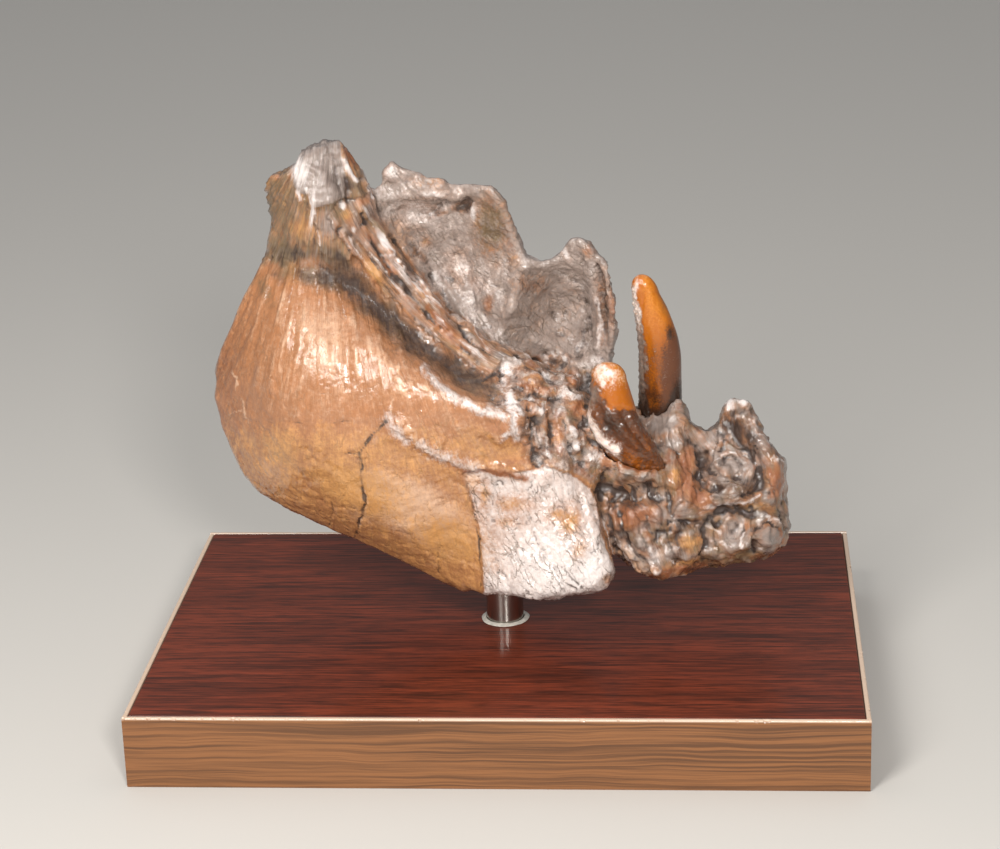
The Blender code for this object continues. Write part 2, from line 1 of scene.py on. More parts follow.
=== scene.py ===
"""Looks of a broken piece of fossil mammoth jaw on a steel post in a laminate board.

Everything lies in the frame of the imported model: metres, +Z up, +X to the right, the shown face
towards -Y. Tables and the numpy code are in millimetres. What is drawn on the bone's shown face is
laid out on the upright plane y = 0, x to the right and z up, as seen from FAR_POINT.
"""

import math

import bmesh
import bpy
import numpy as np
from mathutils import Matrix, Vector


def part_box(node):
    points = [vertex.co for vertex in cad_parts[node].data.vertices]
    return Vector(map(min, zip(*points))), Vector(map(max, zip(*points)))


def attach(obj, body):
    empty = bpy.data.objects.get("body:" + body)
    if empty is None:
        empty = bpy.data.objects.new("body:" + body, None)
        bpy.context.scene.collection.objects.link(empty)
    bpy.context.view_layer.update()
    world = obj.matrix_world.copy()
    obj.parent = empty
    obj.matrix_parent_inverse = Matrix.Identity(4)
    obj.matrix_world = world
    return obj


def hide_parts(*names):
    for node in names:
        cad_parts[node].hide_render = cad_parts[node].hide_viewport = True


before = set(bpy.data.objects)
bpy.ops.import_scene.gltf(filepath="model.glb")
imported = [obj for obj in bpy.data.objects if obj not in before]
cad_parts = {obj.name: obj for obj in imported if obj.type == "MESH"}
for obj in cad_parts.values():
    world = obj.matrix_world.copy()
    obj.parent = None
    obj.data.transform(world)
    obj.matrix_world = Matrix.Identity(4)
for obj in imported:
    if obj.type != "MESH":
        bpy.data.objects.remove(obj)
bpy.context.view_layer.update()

bl_info = {
    "name": "Mounted fossil jaw piece",
    "version": (1, 0, 0),
    "blender": (4, 5, 0),
    "location": "View3D > Sidebar > Fossil",
    "description": "Builds the looks of a fossil jaw piece on its stand",
    "category": "Add Mesh",
}

MM = 0.001
FAR_POINT = np.array((88.0, -1025.0, 485.0))


# --- colours -------------------------------------------------------------------------------------


def linear(code):
    """The linear colour of an sRGB hex value, with full opacity."""
    parts = [int(code[i : i + 2], 16) / 255 for i in (1, 3, 5)]
    return [p / 12.92 if p <= 0.04045 else ((p + 0.055) / 1.055) ** 2.4 for p in parts] + [1.0]


def colour_property(name, code, description):
    """A colour that a user may change, from its sRGB hex value."""
    return bpy.props.FloatVectorProperty(
        name=name,
        description=description,
        subtype="COLOR",
        size=4,
        min=0.0,
        max=1.0,
        default=linear(code),
    )


# --- arithmetic on whole arrays ------------------------------------------------------------------


def ease(low, high, values):
    """0 below low, 1 above high, and the smooth cubic 3t^2 - 2t^3 between."""
    t = np.clip((values - low) / (high - low), 0, 1)
    return t * t * (3 - 2 * t)


PRIMES = np.array((374761393, 668265263, 1442695041), np.int64)


def cell_key(cell):
    """One whole number for each lattice cell: its indices times large primes, summed."""
    return cell[..., 0] * PRIMES[0] + cell[..., 1] * PRIMES[1] + cell[..., 2] * PRIMES[2]


def chance(key, seed):
    """A number from 0 to 1 for each key, by stirring its bits."""
    n = (key + seed * 97531) & 0xFFFFFFFF
    n = ((n ^ (n >> 15)) * 2246822519) & 0xFFFFFFFF
    n = ((n ^ (n >> 13)) * 3266489917) & 0xFFFFFFFF
    return ((n ^ (n >> 16)) & 0xFFFF) / 65535


def waves(points, seed):
    """Gradient noise from about -1 to 1: each lattice corner has a slope, blended by a quintic."""
    base = np.floor(points).astype(np.int64)
    key = cell_key(base)
    inside = points - base
    blend = inside**3 * (inside * (inside * 6 - 15) + 10)
    total = np.zeros(len(points))
    for corner in np.ndindex(2, 2, 2):
        here = key + cell_key(np.array(corner))
        weight = np.ones(len(points))
        rise = np.zeros(len(points))
        for axis in range(3):
            side = blend[:, axis]
            weight *= side if corner[axis] else 1 - side
            rise += (inside[:, axis] - corner[axis]) * (chance(here, seed + 31 * axis) * 2 - 1)
        total += weight * rise
    return total * 1.6


def rough(points, size, octaves, seed):
    """Octaves of waves, each half as large and half as high as the one before."""
    return sum(waves(points * (2.03**k / size), seed + 101 * k) * 0.55**k for k in range(octaves))


def crests(points, size, octaves, seed):
    """Sharp crests on round valleys, from 0 to 1: one less the size of the waves, squared."""
    total = sum(
        (1 - np.abs(waves(points * (2.03**k / size), seed + 101 * k))) ** 2 * 0.5**k
        for k in range(octaves)
    )
    return total / (2 - 0.5 ** (octaves - 1))


def cells(points, size, seed):
    """Points strewn one to a cell: distance to the nearest and the second nearest, over size, a number
    from 0 to 1 that belongs to the nearest, and the height of the nearest's own tilted plane."""
    points = points / size
    base = np.floor(points).astype(np.int64)
    key = cell_key(base)
    inside = points - base
    first = np.full(len(points), 9.0)
    second = np.full(len(points), 9.0)
    best = key
    offset = np.zeros((len(points), 3))
    for step in np.ndindex(3, 3, 3):
        step = np.array(step) - 1
        here = key + cell_key(step)
        away = inside - step - np.column_stack([chance(here, seed + 31 * k) for k in range(3)])
        gap = np.sqrt((away**2).sum(1))
        nearer = gap < first
        second = np.minimum(second, np.maximum(first, gap))
        best = np.where(nearer, here, best)
        offset = np.where(nearer[:, None], away, offset)
        first = np.where(nearer, gap, first)
    lean = np.column_stack([chance(best, seed + 5 + 31 * k) for k in range(3)]) * 2 - 1
    return first, second, chance(best, seed + 11), (offset * lean).sum(1)


def chipped(points, size, seed):
    """Broken facets from about -1 to 1: each cell has its own level and its own tilted plane."""
    near, far, level, plane = cells(points, size, seed)
    return 0.9 * (level - 0.5) + 1.1 * plane - 0.25 * ease(0.1, 0.0, far - near)


def follow(places, line):
    """Distance from a line through x, z, x, z, ..., its sign (left of the run above 0), and length
    run so far."""
    line = np.reshape(line, (-1, 2)).astype(float)
    gap = np.full(len(places), np.inf)
    side = np.zeros(len(places))
    run = np.zeros(len(places))
    done = 0.0
    for start, end in zip(line, line[1:]):
        way = end - start
        length = np.hypot(*way)
        share = np.clip((places - start) @ way / length**2, 0, 1)
        off = places - start - share[:, None] * way
        here = np.hypot(*off.T)
        nearer = here < gap
        turn = way[0] * (places[:, 1] - start[1]) - way[1] * (places[:, 0] - start[0])
        gap = np.where(nearer, here, gap)
        side = np.where(nearer, np.sign(turn), side)
        run = np.where(nearer, done + share * length, run)
        done += length
    return gap, side, run


def within(places, outline, soft):
    """1 well inside a closed outline, 0 well outside, eased over twice soft round the outline."""
    corners = np.reshape(outline, (-1, 2))
    corners = np.vstack([corners, corners[:1]])
    gap = follow(places, corners)[0]
    x, z = places.T
    inside = np.zeros(len(places), bool)
    for (x0, z0), (x1, z1) in zip(corners, corners[1:]):
        crosses = (z0 > z) != (z1 > z)
        inside ^= crosses & (x < (x1 - x0) * (z - z0) / (z1 - z0 + 1e-9) + x0)
    return ease(-soft, soft, np.where(inside, gap, -gap))


def blob(places, x, z, wide, high=None, turn=0.0):
    """A bell-shaped spot, 1 at its middle, turned anticlockwise by turn degrees."""
    angle = math.radians(turn)
    across = (places[:, 0] - x) * math.cos(angle) + (places[:, 1] - z) * math.sin(angle)
    up = (places[:, 1] - z) * math.cos(angle) - (places[:, 0] - x) * math.sin(angle)
    return np.exp(-((across / wide) ** 2) - (up / (high or wide)) ** 2)


def lines(places, strokes):
    """The strongest of many bell-shaped lines, each (strength, half width, x, z, x, z, ...)."""
    total = np.zeros(len(places))
    for strength, width, *line in strokes:
        gap = follow(places, line)[0]
        total = np.maximum(total, strength * np.exp(-((gap / width) ** 2)))
    return total


def drawn(places, forms):
    """The sum of ridges and grooves, each (height, half width, x, z, x, z, ...): steep on the right of
    the run, and twice as far to fall on its left, as the edges of broken layers are."""
    total = np.zeros(len(places))
    for height, width, *line in forms:
        gap, side, _ = follow(places, line)
        total += height * np.exp(-((gap / (width * np.where(side > 0, 1.7, 0.85))) ** 2))
    return total


def through(rows, count):
    """A smooth curve through rows, a Catmull-Rom spline read at evenly counted steps."""
    rows = np.array(rows, float)
    padded = np.vstack([2 * rows[0] - rows[1], rows, 2 * rows[-1] - rows[-2]])
    at = np.linspace(0, len(rows) - 1, count)
    k = np.minimum(at.astype(int), len(rows) - 2)
    t = (at - k)[:, None]
    a, b, c, d = (padded[k + n] for n in range(4))
    return b + 0.5 * t * (c - a + t * (2 * a - 5 * b + 4 * c - d + t * (3 * (b - c) + d - a)))


# --- meshes --------------------------------------------------------------------------------------


def linked(name, data):
    """A new object for a mesh, a lamp or a camera, in the scene."""
    obj = bpy.data.objects.new(name, data)
    bpy.context.scene.collection.objects.link(obj)
    return obj


def mesh_object(name, points, faces, smooth=True):
    """A new object from points in millimetres and faces that all have the same number of corners."""
    faces = np.asarray(faces)
    mesh = bpy.data.meshes.new(name)
    mesh.vertices.add(len(points))
    mesh.vertices.foreach_set("co", (np.asarray(points) * MM).ravel())
    mesh.loops.add(faces.size)
    mesh.loops.foreach_set("vertex_index", faces.ravel())
    mesh.polygons.add(len(faces))
    mesh.polygons.foreach_set("loop_start", np.arange(len(faces)) * faces.shape[1])
    mesh.polygons.foreach_set("use_smooth", np.full(len(faces), smooth))
    mesh.update(calc_edges=True)
    mesh.validate()
    return linked(name, mesh)


def read(items, field, width, kind=float):
    """A row of numbers for each vertex or edge of a mesh."""
    values = np.empty(len(items) * width, kind)
    items.foreach_get(field, values)
    return values.reshape(-1, width)


def mesh_points(mesh):
    """The vertices, in millimetres."""
    return read(mesh.vertices, "co", 3) / MM


def set_points(mesh, points):
    """Moves the vertices to points in millimetres."""
    mesh.vertices.foreach_set("co", (points * MM).ravel())
    mesh.update()


def mesh_normals(mesh):
    """The direction in which each vertex faces."""
    return read(mesh.vertex_normals, "vector", 3)


def mesh_edges(mesh):
    """The two vertices of each edge."""
    return read(mesh.edges, "vertices", 2, np.int64)


def neighbour_mean(values, edges):
    """Each vertex's mean over its neighbours."""
    count = len(values)
    ends = np.concatenate([edges[:, 0], edges[:, 1]])
    others = np.concatenate([edges[:, 1], edges[:, 0]])
    valence = np.maximum(np.bincount(ends, minlength=count), 1)
    columns = values.reshape(count, -1).T
    sums = [np.bincount(ends, column[others], minlength=count) for column in columns]
    return (np.column_stack(sums) / valence[:, None]).reshape(values.shape)


def smoothed(values, edges, rounds, share=1.0):
    """Rounds of a pull to the neighbours' mean and a slightly stronger push back, which keeps size."""
    for _ in range(rounds):
        for strength in (0.5, -0.53):
            values = values + (neighbour_mean(values, edges) - values) * (strength * share)
    return values


def set_attribute(mesh, name, values):
    """Stores a number or a vector for each vertex, for the materials to read."""
    kind = "FLOAT" if values.ndim == 1 else "FLOAT_VECTOR"
    field = "value" if values.ndim == 1 else "vector"
    made = mesh.attributes.new(name, kind, "POINT")
    made.data.foreach_set(field, values.astype(np.float32).ravel())


def apply_modifiers(obj):
    """Swaps the mesh for what its modifiers make of it."""
    bpy.context.view_layer.update()
    evaluated = obj.evaluated_get(bpy.context.evaluated_depsgraph_get())
    finished = bpy.data.meshes.new_from_object(evaluated)
    obj.modifiers.clear()
    old = obj.data
    obj.data = finished
    bpy.data.meshes.remove(old)


def place(obj, material, nodes):
    """Gives a piece its material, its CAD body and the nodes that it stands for."""
    obj.data.materials.clear()
    obj.data.materials.append(material)
    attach(obj, "root")
    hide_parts(*nodes)


def grid_faces(rows, columns, ring=False):
    """Four-cornered faces between rows of points, each row closed on itself; in a ring the last row
    joins the first."""
    row = np.arange(rows if ring else rows - 1)[:, None]
    column = np.arange(columns)
    here, above = row * columns, (row + 1) % rows * columns
    after = (column + 1) % columns
    corners = [here + column, here + after, above + after, above + column]
    return np.stack(corners, -1).reshape(-1, 4)


def skin_object(name, grid):
    """A closed body from a grid of rings, with a pole in the middle of its first and last ring."""
    rows, columns = grid.shape[:2]
    points = grid.reshape(-1, 3)
    first, last = len(points), len(points) + 1
    column = np.arange(columns)
    after = (column + 1) % columns
    top = (rows - 1) * columns
    foot_fan = np.column_stack([after, column, np.full(columns, first)])
    top_fan = np.column_stack([top + column, top + after, np.full(columns, last)])
    points = np.vstack([points, grid[0].mean(0), grid[-1].mean(0)]) * MM
    faces = grid_faces(rows, columns).tolist() + foot_fan.tolist() + top_fan.tolist()
    mesh = bpy.data.meshes.new(name)
    mesh.from_pydata(points.tolist(), [], faces)
    mesh.polygons.foreach_set("use_smooth", np.ones(len(mesh.polygons), bool))
    return linked(name, mesh)


# --- shader nodes --------------------------------------------------------------------------------


def new_material(name):
    """An empty material and its tree of nodes."""
    material = bpy.data.materials.new(name)
    material.use_nodes = True
    material.node_tree.nodes.clear()
    return material, material.node_tree


def add(tree, kind, inputs=None, out=None, **settings):
    """Adds a node with its settings, fills inputs from values or from other nodes' outputs, and
    gives back one output, the first in use unless out names another."""
    node = tree.nodes.new(kind)
    for name, value in settings.items():
        setattr(node, name, value)
    for key, value in (inputs or {}).items():
        if isinstance(value, bpy.types.NodeSocket):
            tree.links.new(value, node.inputs[key])
        elif hasattr(value, "__len__"):
            node.inputs[key].default_value = tuple(value)
        else:
            node.inputs[key].default_value = value
    if out:
        return node.outputs[out]
    return next((output for output in node.outputs if output.enabled), None)


def every(*sizes, unit=MM):
    """The scale of a pattern whose features are so many millimetres wide along each axis: for
    coordinates in metres, or in millimetres if unit is 1."""
    scale = [1 / (size * unit) for size in sizes]
    return scale if len(scale) > 1 else scale[0]


MIX = "ShaderNodeMix"
MATH = "ShaderNodeMath"
NOISE = "ShaderNodeTexNoise"
RANGE = "ShaderNodeMapRange"
VORONOI = "ShaderNodeTexVoronoi"
MAPPING = "ShaderNodeMapping"
ATTRIBUTE = "ShaderNodeAttribute"
BUMP = "ShaderNodeBump"
SHADER = "ShaderNodeBsdfPrincipled"
OUTPUT = "ShaderNodeOutputMaterial"
COORDINATES = "ShaderNodeTexCoord"
VECTOR_MATH = "ShaderNodeVectorMath"


# --- the bone's skin -----------------------------------------------------------------------------

# In every table below, a line or an outline is a run of x, z, x, z, ... in millimetres.
# Zones of the shown face: softness of the border, its share of WANDER, then its outline.
ZONES = {
    "groove": (
        7, 1, -96, 186, -82, 181, -66, 176, -53, 165, -41, 152, -30, 144, -18, 136, -5, 131, 3, 134,
        -3, 141, -15, 149, -25, 157, -35, 164, -45, 176, -52, 184, -61, 196, -74, 201, -93, 203,
    ),
    "neck": (
        3, 1, -102, 192, -92, 192, -76, 195, -62, 190, -55, 200, -48, 214, -50, 222, -56, 240, -70, 250,
        -100, 240,
    ),
    "band": (
        1.6, 1, -66, 218, -50, 221, -46, 206, -38, 193, -28, 179, -18, 167, -5, 157, 6, 151, 12, 141,
        10, 128, 0, 131, -12, 146, -26, 157, -36, 165, -46, 177, -54, 187, -62, 198, -70, 210,
    ),
    "wall": (
        1.6, 1, -51, 224, -47, 207, -38, 194, -28, 180, -18, 168, -5, 158, 6, 152, 18, 146, 30, 140,
        42, 143, 60, 150, 60, 215, 0, 240, -45, 242,
    ),
    "socket": (
        2, 1, 8, 186, 2, 176, 0, 164, 4, 156, 14, 152, 26, 152, 33, 156, 35.5, 164, 35, 173, 32, 181,
        24, 186, 15, 188,
    ),
    "rubble": (
        2, 1, -10, 124, -4, 126, 4, 124, 6, 112, 12, 100, 30, 98, 38, 92, 46, 96, 56, 104, 56, 124,
        44, 136, 40, 146, 28, 144, 12, 152, 2, 150, -4, 142, -4, 134,
    ),
    "plate": (
        0.8, 0.5, -18, 98, -14.5, 84, -12, 70, -11.5, 58, -11.5, 44, -12, 34, 50, 32, 46, 54, 42, 64,
        40.5, 73, 39, 84, 36, 91, 29, 97, 17, 101, 6, 99, -2, 97, -10, 100,
    ),
    "block": (
        1.8, 1, 44, 47, 46, 58, 41, 72, 38, 86, 38, 92, 46, 96, 56, 104, 56, 124, 50, 134, 76, 140,
        130, 140, 130, 45,
    ),
    "platelet": (
        0.4, 0.3, -83, 225, -82, 232.5, -77.5, 240, -72, 246, -64, 246, -62.5, 235.5, -62, 226.5,
        -62, 220, -66, 218.5, -74, 216, -76.5, 222, -80, 222,
    ),
}
WANDER = 1.6
# What each zone gives way to, in this order.
OVERLAPS = {
    "block": ["plate"],
    "rubble": ["plate", "block"],
    "wall": ["rubble", "block"],
    "band": ["wall", "rubble"],
    "neck": ["band", "wall"],
    "groove": ["band", "rubble"],
}

MOST_TRIANGLES = 196000
# A face that looks this far away from the shown side is thinned first.
HIDDEN_SLOPE = 0.1
# Rounds of smoothing: all of the skin, then its unbroken parts, the whole bone and the shoulder.
ALL_ROUNDS = 8
UNBROKEN_ROUNDS = 22
WHOLE_ROUNDS = 70
SHOULDER_ROUNDS = 150
# Rounds that level the skin for the measure of its hollows.
CAVITY_ROUNDS = 14
# The whole bone's fibres run as rays from a centre above it, counted along a circle.
FAN_CENTRE = (-67.0, 262.0)
FAN_RADIUS = 110.0
BAND_AXIS = (-66, 232, -56, 208, -44, 190, -32, 175, -20, 162, -5, 150, 12, 140, 30, 128)
PLATE_TILT = 26.0
# The edge of the shoulder under the neck.
LIP = (-92, 186, -68, 186, -57, 181, -47, 174, -43, 166)
# A crinkled strip under the upper ridge.
CRINKLE = (-46, 122, -38, 114, -28, 108, -16, 103, -6, 98)
# A round shell in the block: its middle and its half sizes.
SHELL = ((96.5, 73.5), (5.0, 6.2))
# Lines that the fibres of the rubble and the block run along.
FLOWS = [
    (-12, 141, -4, 134, 1, 126, 5, 116, 8, 106), (11, 133, 12, 120, 13, 103), (19, 130, 20, 115, 20, 100),
    (27, 126, 31, 112, 37, 99), (-4, 137, 8, 135, 18, 136, 27, 134, 35, 131),
    (-14, 152, 2, 148, 16, 145, 28, 140), (30, 120, 36, 115, 42, 107, 52, 103, 60, 104),
    (-12, 101, -2, 99.5, 9, 95.5), (36, 98, 46, 93, 56, 86, 62, 79), (64, 122, 66, 106, 68, 92, 69, 79),
    (74, 119, 78, 102, 82, 90, 85, 82), (79, 118, 85, 110, 89, 101),
    (36, 90, 38, 78, 42, 65, 48, 54, 55, 46), (50, 79, 53, 68, 60, 57, 66, 51), (61, 72, 65, 62, 68, 54),
    (73, 74, 76, 63, 78, 55), (85, 72, 86, 63, 87, 57), (73, 78, 82, 79, 92, 82, 102, 84, 109, 88),
    (87, 98, 90, 105, 94, 108, 98, 107, 101, 103, 103, 98, 101, 92, 95, 90, 89, 92),
    (93, 101, 95, 103.5, 98, 102), (97, 128, 98, 117, 99, 110),
    (105, 122, 108, 115, 112, 109, 116, 104, 118, 95, 120, 82),
    (91.5, 73, 92, 67.5, 95, 64, 100, 65, 102, 71, 101, 77, 96, 80, 92, 77),
    (106, 74, 110, 78, 116, 76, 120, 71, 119, 64, 112, 61, 106.5, 63),
    (62, 50, 73, 54, 85, 57, 100, 58, 114, 60),
]
# Smooth places in the broken bone: x, z, half width, half height, turn in degrees.
CALM = [
    (71, 117, 6), (80, 110, 5, 8, -40), (95, 99.5, 5, 3), (97, 71, 5, 6), (111, 68, 5.5),
    (49, 66, 4, 14, 25), (65, 78, 3.5), (23, 112, 2.5, 10), (-14, 205, 12, 10), (30, 170, 12, 16),
    (50, 160, 4, 14),
]
# Dark cracks and pale healed ones: strength, half width, line.
CRACKS = [
    (1, 0.75, -50, 122, -57.5, 113.5, -62, 107, -61, 100.5, -62, 94, -60.5, 86.5, -63, 78, -66, 69),
    (0.7, 0.55, -75.5, 86, -75, 81, -76.5, 75), (0.6, 0.5, -80.5, 107.5, -76.5, 108.8),
    (0.7, 0.5, -63, 106.5, -67, 107.5, -70, 106.5),
    (0.5, 0.5, -110, 122.5, -99, 121.5, -91.5, 122.3, -80.5, 120.8, -67, 121.5, -56, 120.2, -50, 122.5),
    (0.7, 0.5, -30, 64, -31, 57, -30, 52),
    (0.8, 0.5, -16.5, 93, -14.2, 84, -13, 74, -12.4, 62, -12.6, 46), (0.6, 0.5, -5.4, 91, -5.7, 83.5),
    (0.6, 0.5, 12, 90, 12.7, 80.5, 9.1, 76.5), (0.6, 0.5, 10, 75, 12.7, 67, 14.3, 61.5),
    (0.55, 0.5, 2, 61.5, 5, 55, 6.2, 50), (0.75, 0.55, 19.4, 57, 22.2, 51, 29.4, 43),
    (0.7, 0.55, 23.2, 54.5, 28.6, 48, 32, 44), (0.45, 0.5, 1.3, 74, 1.5, 65),
    (0.55, 0.5, 29.6, 92, 30.2, 80), (0.8, 0.7, 21, 46.5, 25, 41.5), (0.6, 0.5, 4.8, 46.5, 9, 41.5),
    (0.5, 0.5, 24, 92, 25, 84, 29, 77, 35, 66), (0.45, 0.5, -9, 62, -4, 57, -2, 50),
]
HEALED = [
    (0.9, 0.55, -114, 145, -112, 142, -112.8, 136, -111, 130, -110.5, 126, -108.5, 122),
    (0.6, 0.5, -118, 124.5, -114.5, 127, -111.5, 127),
    (0.8, 0.5, -43, 148, -44, 141, -46, 135, -47.5, 127),
    (0.7, 0.5, -60.5, 90, -59.5, 85, -61.5, 79, -64, 73),
    (0.6, 0.5, -91.5, 172, -92, 164, -91.5, 156, -94, 148, -93.5, 138, -95, 130),
    (0.5, 0.45, -76, 134, -74.5, 128, -75, 122),
]
